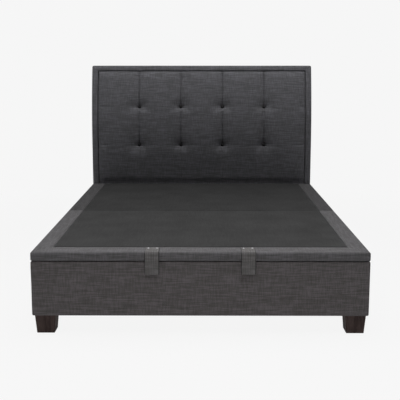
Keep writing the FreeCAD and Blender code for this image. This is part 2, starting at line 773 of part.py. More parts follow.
def make_storage_floor():
    ledges, bearers, legs = [], [], []
    bearer_outer = f"({INNER_X} - ledge_width)"
    bearer_length = f"({bearer_outer} - beam_width / 2)"
    for side in SIDES:
        ledges.append(board(f"ledge_{side}", inboard(side, INNER_X, "ledge_width"),
                            f"{BASE_FRONT_Y} + block_side", f"{FLOOR_FOOT} - ledge_height", "ledge_width",
                            f"{FLOOR_LENGTH} - 2 * block_side", "ledge_height"))
        bearers.append(board(f"bearer_{side}", inboard(side, bearer_outer, bearer_length),
                             f"{beam_place(FLOOR_JOINT_SHARE)} - bearer_width / 2",
                             f"{FLOOR_FOOT} - ledge_height", bearer_length, "bearer_width", "ledge_height"))
    keep(group("ledges_group", ledges), "floor_ledges")
    keep(group("bearers_group", bearers), "floor_bearers")
    keep(board_across("beam", BASE_FRONT_Y, BEAM_FOOT, "beam_width", FLOOR_LENGTH, "beam_height"),
         "centre_beam")
    for index, share in enumerate(CENTRE_LEG_SHARES):
        legs.append(bar(f"centre_leg_{index}", "z", "0", beam_place(share), "glide_height",
                        "centre_leg_radius", f"{BEAM_FOOT} - glide_height"))
    keep(group("centre_legs_group", legs), "centre_legs")
    panel = f"({FLOOR_LENGTH} * {FLOOR_JOINT_SHARE} - floor_play)"
    width = f"{INNER_WIDTH} - 2 * floor_play"
    keep(board_across("floor_front", f"{BASE_FRONT_Y} + floor_play / 2", FLOOR_FOOT, width, panel,
                      "floor_thickness"), "storage_floor_front")
    keep(board_across("floor_rear", f"{beam_place(FLOOR_JOINT_SHARE)} + floor_play / 2", FLOOR_FOOT, width,
                      panel, "floor_thickness"), "storage_floor_rear")


def make_buffers():
    buffers = []
    for side in SIDES:
        for index, share in enumerate(BUFFER_SHARES):
            buffers.append(bar(f"buffer_{side}_{index}", "z",
                               f"{SIGN[side]} * (bed_width / 2 - rail_thickness / 2)",
                               f"{FRONT_Y} + deck_length * {share}", RAIL_TOP, "buffer_radius",
                               "closing_gap - buffer_clearance"))
    keep(group("buffers_group", buffers), "rubber_buffers")


# Platform: a timber frame in two halves, boarded, padded and covered

HALF_START = {"front": FRONT_Y, "rear": REAR_HALF_Y}
FRAME_X = "(bed_width / 2 - cover_thickness)"
FRAME_WIDTH = "(bed_width - 2 * cover_thickness)"


def half_timber(half):
    """Where a half's timber starts, and how long it is: the front half is covered at its foot."""
    if half == "front":
        return f"({FRONT_Y} + cover_thickness)", f"({HALF_LENGTH} - cover_thickness)"
    return REAR_HALF_Y, HALF_LENGTH


def make_platform_frame():
    sides, crosses, slats = [], [], []
    between = f"({FRAME_WIDTH} - 2 * frame_side_width)"
    for half in ("front", "rear"):
        start, length = half_timber(half)
        for side in SIDES:
            sides.append(board(f"frame_side_{half}_{side}", inboard(side, FRAME_X, "frame_side_width"), start,
                               FRAME_FOOT, "frame_side_width", length, FRAME_DEPTH))
        for end, y in (("foot", start), ("head", f"{start} + {length} - cross_rail_width")):
            crosses.append(board_across(f"frame_cross_{half}_{end}", y, FRAME_FOOT, between,
                                        "cross_rail_width", FRAME_DEPTH))
        for index in range(SLATS_PER_HALF):
            share = (index + 1) / (SLATS_PER_HALF + 1)
            slats.append(board_across(f"slat_{half}_{index}",
                                      f"{start} + {length} * {share} - slat_width / 2",
                                      f"{DECK_BOARD_FOOT} - slat_thickness", between, "slat_width",
                                      "slat_thickness"))
    keep(group("frame_sides_group", sides), "platform_side_rails")
    keep(group("frame_crosses_group", crosses), "platform_cross_rails")
    keep(group("slats_group", slats), "platform_slats")
    plates = []
    for side in SIDES:
        plates.append(board(f"joining_plate_{side}",
                            inboard(side, f"({INNER_X} - cover_thickness)", "joining_plate_width"),
                            f"{REAR_HALF_Y} - half_gap / 2 - joining_plate_length / 2",
                            f"{FRAME_FOOT} - joining_plate_thickness", "joining_plate_width",
                            "joining_plate_length", "joining_plate_thickness"))
    keep(group("joining_plates_group", plates), "joining_plates")


def make_deck(half):
    start, length = half_timber(half)
    keep(board_across(f"deck_board_{half}_solid", start, DECK_BOARD_FOOT, FRAME_WIDTH, length,
                      "deck_board_thickness"), f"deck_board_{half}")
    border = "front_border" if half == "front" else "0"
    window_y = f"({HALF_START[half]} + {border})"
    window_length = f"({HALF_LENGTH} - {border})"
    window_width = "(bed_width - 2 * deck_border)"
    keep(board_across(f"deck_cloth_{half}_solid", window_y, CLOTH_FOOT, window_width, window_length,
                      "cloth_thickness"), f"deck_cloth_{half}")
    outside = board_across(f"wrap_outside_{half}", HALF_START[half], UNDERSIDE, "bed_width", HALF_LENGTH,
                           "platform_depth")
    edge_x, top_z, front = number("bed_width / 2"), number(DECK_TOP), number(FRONT_Y)

    def soft_edge(edge):
        point = middle(edge)
        on_side = near(abs(point.x), edge_x)
        on_front = near(point.y, front)
        return (on_side or on_front) and (near(point.z, top_z) or (on_side and on_front))

    soft = rounded(f"wrap_soft_{half}", outside, "cover_round", soft_edge)
    timber = board_across(f"wrap_timber_{half}", start, FRAME_FOOT, FRAME_WIDTH, f"{length} + half_gap",
                          f"{CLOTH_FOOT} - {FRAME_FOOT}")
    window = board_across(f"wrap_window_{half}", window_y, CLOTH_FOOT, window_width,
                          f"{window_length} + half_gap", "cloth_thickness + cover_thickness")
    lip = "cover_lip" if half == "front" else "0"
    below = board_across(f"wrap_below_{half}", f"{HALF_START[half]} + {lip}",
                         f"{UNDERSIDE} - cover_thickness", "bed_width - 2 * cover_lip",
                         f"{HALF_LENGTH} - {lip} + half_gap", "2 * cover_thickness")
    keep(cut(f"wrap_{half}", soft, joined(f"wrap_hollow_{half}", [timber, window, below])),
         f"border_cover_{half}")


# Pull straps

STRAP_AXIS_Y = f"({FRONT_Y} - strap_play - strap_thickness / 2)"
STRAP_AXIS_Z = f"({DECK_TOP} + strap_thickness / 2)"


def make_straps():
    ends, tacks = [], []
    for side in SIDES:
        middle_x = f"{SIGN[side]} * strap_spacing / 2"
        low_x = f"{middle_x} - strap_width / 2"
        ends.append(board(f"strap_end_{side}", low_x, FRONT_Y, DECK_TOP, "strap_width", "strap_sewn",
                          "strap_thickness"))
        for index, step in enumerate((-0.5, 0.5)):
            tacks.append(bar(f"tack_{side}_{index}", "z", f"{middle_x} + tack_spacing * {step}",
                             f"{FRONT_Y} + strap_sewn - tack_inset", f"{DECK_TOP} + strap_thickness",
                             "tack_radius", "tack_height"))
        tape = board(f"strap_tape_{side}", low_x, f"{STRAP_AXIS_Y} - strap_thickness / 2",
                     f"{STRAP_AXIS_Z} - strap_drop", "strap_width", "strap_thickness", "strap_drop")
        nose = bar(f"strap_nose_{side}", "x", low_x, STRAP_AXIS_Y, STRAP_AXIS_Z, "strap_thickness / 2",
                   "strap_width")
        keep(joined(f"strap_{side}", [tape, nose]), f"pull_strap_{side}")
    keep(group("strap_ends_group", ends), "strap_ends")
    keep(group("strap_tacks_group", tacks), "strap_tacks")


# Lift mechanism

ARM_FOOT = ("arm_foot_forward", "arm_foot_drop")
ARM_HEAD = ("arm_head_forward", "arm_head_drop")
LINK_FOOT = ("link_foot_forward", "link_foot_drop")
LINK_HEAD = ("link_head_forward", "link_head_drop")
STRUT_FOOT = ("(arm_foot_forward + strut_half_span)", "strut_drop")
STRUT_HEAD = ("(arm_foot_forward - strut_half_span)", "strut_drop")
BRACKET_BOLT_SHARES = (0.42, 0.6)
LIFT_PLATE_REACH_SHARE = 0.5


def rounded_plate(name, side, layer, thickness, corners, radius, holes):
    """A flat plate round several points, each with the same radius about it, and round holes.

    The body stands at the platform's head end, at its underside; a point is how far forward
    of that and how far below it lies.
    """
    body = doc.addObject("PartDesign::Body", name)
    sketch = new_sketch(body, name + "_outline", "YZ_Plane")
    points = [(corner, FreeCAD.Vector(-number(corner[0]), -number(corner[1]))) for corner in corners]
    area = sum(a.x * b.y - b.x * a.y for (_, a), (_, b) in zip(points, points[1:] + points[:1]))
    if area < 0:
        points.reverse()
    reach = number(radius)
    normals = []
    for (_, start), (_, end) in zip(points, points[1:] + points[:1]):
        along = (end - start).normalize()
        normals.append(FreeCAD.Vector(along.y, -along.x))
    arcs, lines = [], []
    for index, (_, point) in enumerate(points):
        before, after = normals[index - 1], normals[index]
        start = math.atan2(before.y, before.x)
        end = math.atan2(after.y, after.x)
        end += 2 * math.pi if end < start else 0
        circle = Part.Circle(point, FreeCAD.Vector(0, 0, 1), reach)
        arcs.append(sketch.addGeometry(Part.ArcOfCircle(circle, start, end)))
    for index, (_, point) in enumerate(points):
        following = points[(index + 1) % len(points)][1]
        out = normals[index] * reach
        lines.append(sketch.addGeometry(Part.LineSegment(point + out, following + out)))
    for index, arc in enumerate(arcs):
        join(sketch, "Tangent", arc, 2, lines[index], 1)
        join(sketch, "Tangent", lines[index], 2, arcs[(index + 1) % len(arcs)], 1)
        place_centre(sketch, arc, points[index][0])
        if index:
            join(sketch, "Equal", arcs[0], arc)
    fix(sketch, "Radius", arcs[0], to=radius)
    for corner, hole_radius in holes:
        centre = FreeCAD.Vector(-number(corner[0]), -number(corner[1]))
        circle = sketch.addGeometry(Part.Circle(centre, FreeCAD.Vector(0, 0, 1), number(hole_radius)))
        place_centre(sketch, circle, corner)
        fix(sketch, "Radius", circle, to=hole_radius)
    pad = body.newObject("PartDesign::Pad", name + "_pad")
    pad.Profile = sketch
    bind(pad, Length=thickness)
    return move_to(body, inboard(side, f"({INNER_X} - ({layer}))", thickness), HEAD_Y, UNDERSIDE)


def place_centre(sketch, item, corner):
    fix(sketch, "DistanceX", item, 3, -1, 1, to=corner[0])
    fix(sketch, "DistanceY", item, 3, -1, 1, to=corner[1])


def bracket_corners():
    """Outline of the base bracket: the three base pivots and two corners that carry bolts."""
    upper = (f"({ARM_FOOT[0]} + ({LINK_FOOT[0]} - {ARM_FOOT[0]}) * {BRACKET_BOLT_SHARES[0]})", ARM_FOOT[1])
    lower = (ARM_FOOT[0], f"({ARM_FOOT[1]} + (strut_drop - {ARM_FOOT[1]}) * {BRACKET_BOLT_SHARES[1]})")
    return [ARM_FOOT, upper, LINK_FOOT, STRUT_FOOT, lower]


def halfway(first, second):
    return tuple(f"(({a} + {b}) / 2)" for a, b in zip(first, second))


def bracket_bolts():
    _, upper, link_foot, strut_foot, lower = bracket_corners()
    return [upper, lower, halfway(upper, link_foot), halfway(lower, strut_foot)]


def pin_part(name, side, corner, layer, radius, length):
    """A round stretch of a lift pin, starting at a layer and running inwards."""
    forward, drop = corner
    return bar(name, "x", inboard(side, f"({INNER_X} - ({layer}))", length), f"{HEAD_Y} - {forward}",
               f"{UNDERSIDE} - {drop}", radius, length)


def stepped_pin(name, side, corner, parts):
    """A pin of several stretches, each (layer, radius, length)."""
    pieces = [pin_part(f"{name}_{index}", side, corner, *part) for index, part in enumerate(parts)]
    return joined(name, pieces)


def eye_pin(name, side, corner, start):
    """The long stud that carries one eye of a gas strut clear of the arms."""
    shoulder = f"({EYE_LAYER} - pin_head_gap)"
    return stepped_pin(name, side, corner, [
        (start, "spacer_radius", f"{shoulder} - {start}"),
        (shoulder, "stud_radius", "eye_width + 2 * pin_head_gap"),
        (f"{shoulder} + eye_width + 2 * pin_head_gap", "spacer_radius", "pin_head_height"),
    ])


def make_lift_plates(side):
    pin_hole = "pin_radius + pin_play"
    base = rounded_plate(f"base_plate_{side}", side, "0", "plate_thickness", bracket_corners(),
                         "plate_round", [])
    keep(base, f"base_bracket_{side}")
    arm = rounded_plate(f"arm_plate_{side}", side, ARM_LAYER, "arm_thickness",
                        [ARM_FOOT, ARM_HEAD, STRUT_HEAD], "arm_round",
                        [(ARM_FOOT, pin_hole), (ARM_HEAD, pin_hole)])
    keep(arm, f"short_arm_{side}")
    link = rounded_plate(f"link_plate_{side}", side, LINK_LAYER, "arm_thickness", [LINK_FOOT, LINK_HEAD],
                         "link_round", [(LINK_FOOT, pin_hole), (LINK_HEAD, "pin_radius + loose_play")])
    keep(link, f"long_arm_{side}")
    near_end = f"({ARM_HEAD[0]} - bracket_reach * {LIFT_PLATE_REACH_SHARE})"
    far_end = f"({LINK_HEAD[0]} + bracket_reach)"
    wing = [(near_end, "bracket_top_drop"), (far_end, "bracket_top_drop"), LINK_HEAD]
    plate = rounded_plate(f"lift_plate_{side}", side, BRACKET_LAYER, "plate_thickness", wing,
                          "bracket_top_drop", [])
    flange = board(f"lift_flange_{side}", inboard(side, f"({INNER_X} - {BRACKET_LAYER})", "flange_width"),
                   f"{HEAD_Y} - {far_end} - bracket_top_drop", UNDERSIDE, "flange_width",
                   f"({far_end} - {near_end} + 2 * bracket_top_drop)", "cover_thickness")
    keep(joined(f"lift_bracket_solid_{side}", [plate, flange]), f"lift_bracket_{side}")


def make_lift_pins():
    base_pins, lift_pins = [], []
    head_start = "arm_thickness + arm_gap + pin_head_gap"
    for side in SIDES:
        base_pins.append(stepped_pin(f"arm_foot_pin_{side}", side, ARM_FOOT, [
            ("plate_thickness", "pin_radius", head_start),
            (f"plate_thickness + {head_start}", "pin_head_radius", "pin_head_height")]))
        base_pins.append(stepped_pin(f"link_foot_pin_{side}", side, LINK_FOOT, [
            ("plate_thickness", "spacer_radius", f"{LINK_LAYER} - plate_thickness - pin_head_gap"),
            (f"{LINK_LAYER} - pin_head_gap", "pin_radius", "arm_thickness + 2 * pin_head_gap"),
            (f"{LINK_LAYER} + arm_thickness + pin_head_gap", "pin_head_radius", "pin_head_height")]))
        base_pins.append(eye_pin(f"strut_foot_pin_{side}", side, STRUT_FOOT, "plate_thickness"))
        lift_pins.append(stepped_pin(f"arm_head_pin_{side}", side, ARM_HEAD, [
            (f"{ARM_LAYER} - pin_head_gap", "pin_radius", f"{BRACKET_LAYER} - {ARM_LAYER} + pin_head_gap"),
            (f"{ARM_LAYER} - pin_head_gap - pin_head_height", "pin_head_radius", "pin_head_height")]))
        lift_pins.append(stepped_pin(f"link_head_pin_{side}", side, LINK_HEAD, [
            (f"{BRACKET_LAYER} + plate_thickness", "pin_radius", head_start),
            (f"{BRACKET_LAYER} + plate_thickness + {head_start}", "pin_head_radius", "pin_head_height")]))
        keep(eye_pin(f"strut_head_pin_{side}", side, STRUT_HEAD, f"({ARM_LAYER} + arm_thickness)"),
             f"strut_stud_{side}")
    keep(group("base_pins_group", base_pins), "base_pivot_pins")
    keep(group("lift_pins_group", lift_pins), "platform_pivot_pins")


def make_gas_strut(side):
    """The cylinder hangs on the base bracket's stud, the rod on the short arm's."""
    z = f"{UNDERSIDE} - strut_drop"
    x = f"{SIGN[side]} * ({INNER_X} - {STRUT_AXIS})"
    foot_y = f"({HEAD_Y} - {STRUT_FOOT[0]})"
    head_y = f"({HEAD_Y} - {STRUT_HEAD[0]})"

    def eye(name, corner, radius, length):
        return pin_part(f"{name}_{side}", side, corner, EYE_LAYER, radius, length)

    tube = joined(f"tube_solid_{side}", [
        eye("foot_eye", STRUT_FOOT, "eye_radius", "eye_width"),
        bar(f"foot_neck_{side}", "y", x, foot_y, z, "strut_neck_radius", "strut_tube_start"),
        bar(f"tube_{side}", "y", x, f"{foot_y} + strut_tube_start", z, "strut_tube_radius",
            "strut_tube_length")])
    tube_mouth = f"({foot_y} + strut_tube_start + strut_tube_length)"
    bore = bar(f"bore_{side}", "y", x, f"{tube_mouth} - strut_bore_depth", z,
               "strut_rod_radius + strut_rod_play", "strut_bore_depth")
    foot_hole = eye("foot_eye_hole", STRUT_FOOT, "stud_radius + pin_play", "eye_width")
    keep(cut(f"cylinder_{side}", tube, group(f"tube_holes_{side}", [bore, foot_hole])),
         f"strut_cylinder_{side}")
    rod = joined(f"rod_solid_{side}", [
        eye("head_eye", STRUT_HEAD, "eye_radius", "eye_width"),
        bar(f"rod_{side}", "y", x, f"{foot_y} + strut_rod_start", z, "strut_rod_radius",
            f"{STRUT_SPAN} - strut_rod_start")])
    head_hole = eye("head_eye_hole", STRUT_HEAD, "stud_radius + pin_play", "eye_width")
    keep(cut(f"strut_rod_solid_{side}", rod, head_hole), f"strut_rod_{side}")


def make_lift():
    for side in SIDES:
        make_lift_plates(side)
        make_gas_strut(side)
    make_lift_pins()


def check_model():
    """Stops if an object failed or a sub-part is missing, broken or empty."""
    for thing in doc.Objects:
        bad = [state for state in thing.State if state in ("Invalid", "Error")]
        if bad:
            raise RuntimeError(f"{thing.Name} is {bad}")
    for node in NODES:
        if node.Shape.isNull() or not node.Shape.isValid() or not node.Shape.Solids:
            raise RuntimeError(f"{node.Label} has no valid solid")


def write_parts():
    os.makedirs("parts", exist_ok=True)
    for node in NODES:
        node.Shape.exportStep(f"parts/{node.Label}.step")


make_headboard()
make_foot_rail()
make_side_rails()
make_corners()
make_frame_bolts()
make_storage_floor()
make_buffers()
make_platform_frame()
make_deck("front")
make_deck("rear")
make_straps()
make_lift()
doc.recompute()
check_model()
write_parts()

for title, formula in (("total length", TOTAL_LENGTH), ("front y", FRONT_Y),
                       ("platform head end y", HEAD_Y), ("headboard face y", BOARD_Y),
                       ("underside z", UNDERSIDE), ("deck top z", DECK_TOP),
                       ("strap axis y", STRAP_AXIS_Y), ("strap axis z", STRAP_AXIS_Z),
                       ("leg x", LEG_X), ("leg front y", LEG_END_Y["front"]),
                       ("inner x", INNER_X), ("base head y", BASE_HEAD_Y)):
    print(title, round(number(formula), 4))
print(len(NODES), "sub-parts,", sum(len(node.Shape.Solids) for node in NODES), "solids")
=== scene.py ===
# %% [markdown]
# # Dressing an ottoman bed in Blender
#
# The bed is a wooden box with a lid that lifts on gas struts. A CAD program has made every
# board, leg and lift arm already, and this lesson puts the cloth, the padding and the finishes
# on them. We load the CAD model first, so that each new piece can be placed by its numbers.

# %% Load the CAD model
import math

import bmesh
import bpy
import numpy as np
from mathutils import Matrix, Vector


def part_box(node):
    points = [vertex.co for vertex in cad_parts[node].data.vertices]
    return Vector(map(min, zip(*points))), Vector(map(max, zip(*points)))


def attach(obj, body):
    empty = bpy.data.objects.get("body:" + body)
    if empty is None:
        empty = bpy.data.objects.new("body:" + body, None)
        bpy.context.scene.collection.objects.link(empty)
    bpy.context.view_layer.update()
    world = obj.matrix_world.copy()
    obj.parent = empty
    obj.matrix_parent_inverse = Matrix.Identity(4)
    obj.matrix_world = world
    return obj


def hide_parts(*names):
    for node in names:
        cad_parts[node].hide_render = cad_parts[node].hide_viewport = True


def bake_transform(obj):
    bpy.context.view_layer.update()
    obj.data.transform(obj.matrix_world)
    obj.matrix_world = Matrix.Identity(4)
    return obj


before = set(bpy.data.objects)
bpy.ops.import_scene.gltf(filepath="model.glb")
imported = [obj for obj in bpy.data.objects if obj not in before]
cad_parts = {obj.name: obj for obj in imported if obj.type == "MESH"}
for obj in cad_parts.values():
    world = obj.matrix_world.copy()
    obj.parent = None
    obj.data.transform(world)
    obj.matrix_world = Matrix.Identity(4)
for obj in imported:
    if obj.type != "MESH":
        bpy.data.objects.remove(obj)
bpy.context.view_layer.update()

# %% [markdown]
# ## The camera
#
# The catalogue picture looks at the bed from the foot end, a little above the mattress. A long
# lens keeps the sides nearly parallel. The picture was cropped low, which a small lens shift
# repeats without tilting the camera, so upright edges stay as they are in the picture.

# %% Camera
scene = bpy.context.scene
scene.view_settings.view_transform = "Standard"

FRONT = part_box("foot_rail_cover")[0].y
CAMERA_ASIDE, CAMERA_DISTANCE, CAMERA_HEIGHT = 0.0165, 3.508, 1.298
LOOK_DOWN, LOOK_ASIDE = 8.77, 0.29
lens = bpy.data.cameras.new("picture_lens")
lens.sensor_width, lens.lens = 36.0, 68.36
lens.shift_y = -0.05
lens.clip_end = 60
camera = bpy.data.objects.new("camera", lens)
camera.location = (CAMERA_ASIDE, FRONT - CAMERA_DISTANCE, CAMERA_HEIGHT)
camera.rotation_euler = (math.radians(90 - LOOK_DOWN), 0, math.radians(LOOK_ASIDE))
scene.collection.objects.link(camera)
scene.camera = camera
print("camera stands", CAMERA_DISTANCE, "m in front of the bed, looking down by", LOOK_DOWN, "degrees")

# %% [markdown]
# ## Putting an array into a mesh
#
# Every soft piece below is a grid of points that numpy works out at once. These helpers turn
# such a grid into a mesh. The second pair of numbers kept with each point says where it lies on
# the flat cloth, in metres, so that a weave keeps its real scale and follows every bend.

# %% Grid helpers
def grid_faces(rows, columns, closed=False):
    """Four-cornered faces of a grid: corner (i, j), then one step along the row, and on round."""
    steps = columns if closed else columns - 1
    i, j = np.meshgrid(np.arange(rows - 1), np.arange(steps), indexing="ij")
    right = (j + 1) % columns
    corners = (i * columns + j, i * columns + right, (i + 1) * columns + right, (i + 1) * columns + j)
    return np.stack(corners, -1).reshape(-1, 4)


def grid_cloth(flat):
    """The flat place of each face's four corners, so a closed row may end at a cloth's far edge."""
    return np.stack([flat[:-1, :-1], flat[:-1, 1:], flat[1:, 1:], flat[1:, :-1]], 2).reshape(-1, 2)


def new_mesh(name, points, faces, flat=None):
    """A smooth-shaded mesh from points, faces and the flat place of every face corner."""
    mesh = bpy.data.meshes.new(name)
    faces = np.asarray(faces, np.int32)
    flat = np.zeros((faces.size, 2)) if flat is None else flat
    mesh.vertices.add(len(points))
    mesh.vertices.foreach_set("co", np.asarray(points, np.float32).ravel())
    mesh.loops.add(faces.size)
    mesh.loops.foreach_set("vertex_index", faces.ravel())
    mesh.polygons.add(len(faces))
    mesh.polygons.foreach_set("loop_start", np.arange(0, faces.size, faces.shape[1], dtype=np.int32))
    mesh.update(calc_edges=True)
    mesh.polygons.foreach_set("use_smooth", np.ones(len(faces), bool))
    cloth = mesh.uv_layers.new(name="cloth")
    cloth.data.foreach_set("uv", np.asarray(flat, np.float32).ravel())
    mesh.validate()
    return mesh


def grid_mesh(name, points, flat, closed=False):
    """A grid of points as a mesh; in a closed one each row's last point is joined to its first."""
    return new_mesh(name, points.reshape(-1, 3), grid_faces(*points.shape[:2], closed), grid_cloth(flat))


def tidy_shell(mesh, apart=1e-5):
    """Joins doubled points, fills what is still open and turns all faces outwards."""
    work = bmesh.new()
    work.from_mesh(mesh)
    bmesh.ops.remove_doubles(work, verts=work.verts, dist=apart)
    bmesh.ops.dissolve_degenerate(work, edges=work.edges, dist=apart / 10)
    rims = [edge for edge in work.edges if edge.is_boundary]
    if rims:
        bmesh.ops.holes_fill(work, edges=rims, sides=0)
    bmesh.ops.recalc_face_normals(work, faces=work.faces)
    work.to_mesh(mesh)
    work.free()
    mesh.polygons.foreach_set("use_smooth", np.ones(len(mesh.polygons), bool))
    return mesh


def show(mesh, finish, body, stands_for=()):
    """Puts a mesh into the scene: its finish, the CAD body that it rides on, what it replaces."""
    piece = bpy.data.objects.new(mesh.name, mesh)
    scene.collection.objects.link(piece)
    mesh.materials.append(finish)
    if body:
        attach(piece, body)
    if stands_for:
        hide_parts(*stands_for)
    print(f"{mesh.name}: {len(mesh.vertices)} points on {body or 'two bodies'}")
    return piece


def show_sheet(mesh, inside, thickness, finish, body, stands_for):
    """Shows a sheet stretched over a board, its thickness on the side of a point inside the piece."""
    spots, looks, sizes = (np.zeros(len(mesh.polygons) * width, np.float32) for width in (3, 3, 1))
    for kind, values in (("center", spots), ("normal", looks), ("area", sizes)):
        mesh.polygons.foreach_get(kind, values)
    away = ((spots.reshape(-1, 3) - inside) * looks.reshape(-1, 3)).sum(1)
    if (away * sizes).sum() < 0:
        mesh.flip_normals()
    piece = show(mesh, finish, body, [stands_for])
    wall = piece.modifiers.new("thickness", "SOLIDIFY")
    wall.thickness, wall.offset = thickness, -1

# %% [markdown]
# ## Lines with soft corners
#
# Cloth that is pulled over a board never has a sharp edge. A section is drawn as a few corners,
# and each corner is replaced by a small arc. A row of such sections carried along the edge of
# the bed makes the border, so one helper draws sections and another draws the edge's path.

# %% Sections and paths
def soft_line(corners, radii, step=0.006, turn=6, closed=False):
    """A line through corners, each rounded by an arc that touches both sides at r / tan(half angle)."""
    corners, count = [np.array(c, float) for c in corners], len(corners)
    parts = []
    for k, (corner, radius) in enumerate(zip(corners, radii)):
        if radius <= 0 or (not closed and k in (0, count - 1)):
            parts.append(corner[None])
            continue
        back, on = corners[k - 1] - corner, corners[(k + 1) % count] - corner
        back, on = back / np.linalg.norm(back), on / np.linalg.norm(on)
        half = math.acos(np.clip(back @ on, -1, 1)) / 2
        middle = corner + (back + on) / np.linalg.norm(back + on) * radius / math.sin(half)
        a, b = (corner + way * radius / math.tan(half) - middle for way in (back, on))
        share, angle = np.linspace(0, 1, turn + 1)[:, None], math.pi - 2 * half
        arc = (a * np.sin((1 - share) * angle) + b * np.sin(share * angle)) / math.sin(angle)
        parts.append(middle + arc)
    line = [parts[0]]
    for part in parts[1:] + ([parts[0][:1]] if closed else []):
        gap = part[0] - line[-1][-1]
        steps = max(int(np.linalg.norm(gap) / step), 1)
        inner = line[-1][-1] + gap * (np.arange(1, steps) / steps)[:, None]
        line += [inner, part]
    line = np.vstack(line)
    return line[:-1] if closed else line


def distance_along(line, closed=False):
    """Distance from the start to each point of a line, and back to its start if it is closed."""
    line = np.vstack([line, line[:1]]) if closed else line
    return np.concatenate([[0], np.cumsum(np.linalg.norm(np.diff(line, axis=0), axis=1))])


def round_three_sides(half_width, start, reach, inset, radius, far_inset=None, step=0.012, turn=6):
    """A path up one side, across and down the other, drawn once for each inset from its outline.

    Up the side x = -(half - inset); the corner is a quarter circle; then s = reach - inset. The
    third result is the distance along the cloth's edge, from the middle of the far side.
    """
    far_inset = inset if far_inset is None else far_inset
    inset, far_inset, radius = inset[:, None], far_inset[:, None], radius[:, None]
    side, far = half_width - inset, reach - far_inset
    rise = np.linspace(0, 1, max(int((reach - start) / step), 2))[None]
    angle = np.linspace(0, math.pi / 2, turn + 1)[None]
    over = np.linspace(-1, 1, max(int(2 * half_width / step), 2))[None]
    x = [-side + 0 * rise, -side + radius * (1 - np.cos(angle)), (side - radius) * over]
    s = [start + (far - radius - start) * rise, far - radius * (1 - np.sin(angle)), far + 0 * over]
    left_x, left_s = (np.hstack([part[0][:, :-1], part[1][:, :-1]]) for part in (x, s))
    across = np.hstack([left_x, x[2], -left_x[:, ::-1]])
    along = np.hstack([left_s, s[2], left_s[:, ::-1]])
    from_side, from_far = side - np.abs(across), far - along
    on_far = from_side / np.maximum(from_side + from_far, 1e-6)
    edge = half_width - from_side + from_far - inset * on_far + far_inset * (1 - on_far)
    return across, along, np.sign(across) * edge


def uneven(a, b, amount, seed=0.0):
    """Hand-stretched cloth is never quite flat: four long waves added up, in metres."""
    waves = (np.sin(9.1 * a + 4.3 * b + seed), np.sin(-6.7 * a + 13.9 * b + 2.1 * seed + 1.3),
             np.sin(23.0 * a + 3.1 * seed + 0.4), np.sin(17.3 * b - 5.0 * a + 1.7 * seed + 2.2))
    return amount * (0.34 * waves[0] + 0.3 * waves[1] + 0.18 * waves[2] + 0.18 * waves[3])


def fade(distance, reach, power=2):
    """A bump that is 1 at no distance and dies away: exp(-(distance / reach) ^ power)."""
    return np.exp(-(distance / reach) ** power)


square = soft_line([(0, 0), (1, 0), (1, 1), (0, 1)], [0.2] * 4, 0.1, closed=True)
print("a rounded square has", len(square), "points")

# %% [markdown]
# ## Writing finishes
#
# A finish is a small network of nodes. A few helpers keep each network short: they add a node,
# mix two colours, stretch a range of numbers or add numbers up by weight. Each finds its tree
# by the numbers that it is given. A value that is the same all over is written on the shader.

# %% Node helpers
def plug(tree, socket, value):
    """Links a node's output to a socket, or writes a plain value on it."""
    if isinstance(value, bpy.types.NodeSocket):
        tree.links.new(value, socket)
    elif value is not None:
        socket.default_value = value


def add(tree, kind, *inputs, output=0, settings=None, **named):
    """Adds a node: inputs by order, named inputs by their label, settings by attribute."""
    made = tree.nodes.new("ShaderNode" + kind)
    for key, value in (settings or {}).items():
        setattr(made, key, value)
    for socket, value in zip(made.inputs, inputs):
        plug(tree, socket, value)
    for key, value in named.items():
        plug(tree, made.inputs[key], value)
    return made.outputs[output] if made.outputs else None


def empty_tree(owner):
    """The node tree of a finish or a world, with nothing in it."""
    owner.use_nodes = True
    owner.node_tree.nodes.clear()
    return owner.node_tree


def new_finish(name, follows, **shader_values):
    """A finish, its shader and the coordinates its pattern follows: the flat "cloth" or the "object"."""
    finish = bpy.data.materials.new(name)
    tree = empty_tree(finish)
    shader = tree.nodes.new("ShaderNodeBsdfPrincipled")
    add(tree, "OutputMaterial", shader.outputs[0])
    for key, value in shader_values.items():
        shader.inputs[key.replace("_", " ")].default_value = value
    if follows == "cloth":
        return finish, shader, add(tree, "UVMap", settings={"uv_map": "cloth"})
    return finish, shader, add(tree, "TexCoord", output="Object")


def complete(finish, shader, colour, roughness, height, bump):
    """Plugs a finish's patterns into its shader; bump is the relief's strength and its depth."""
    tree = finish.node_tree
    relief = add(tree, "Bump", *bump, Height=height)
    for key, value in {"Base Color": colour, "Roughness": roughness, "Normal": relief}.items():
        plug(tree, shader.inputs[key], value)
    return finish


def times(numbers, factor):
    return tuple(factor * part for part in numbers)


def maths(operation, a, b=0.0, c=0.0):
    return add(a.id_data, "Math", a, b, c, settings={"operation": operation})


def sine(value, factor):
    return maths("SINE", maths("MULTIPLY", value, factor))


def weighted(first, *others):
    """Adds numbers up, each given with its weight."""
    total = maths("MULTIPLY", *first)
    for value, weight in others:
        total = maths("MULTIPLY_ADD", value, weight, total)
    return total


def split(place):
    """The two flat coordinates of a cloth as two numbers."""
    made = place.id_data.nodes.new("ShaderNodeSeparateXYZ")
    plug(place.id_data, made.inputs[0], place)
    return made.outputs[0], made.outputs[1]


def mix_colours(share, first, second):
    """The first colour where share is 0, the second where it is 1."""
    made = share.id_data.nodes.new("ShaderNodeMix")
    made.data_type = "RGBA"
    for index, value in ((0, share), (6, first), (7, second)):
        plug(share.id_data, made.inputs[index], (*value, 1.0) if isinstance(value, tuple) else value)
    return made.outputs[2]


def stretch_range(value, low, high, to_low=0.0, to_high=1.0):
    return add(value.id_data, "MapRange", value, low, high, to_low, to_high)


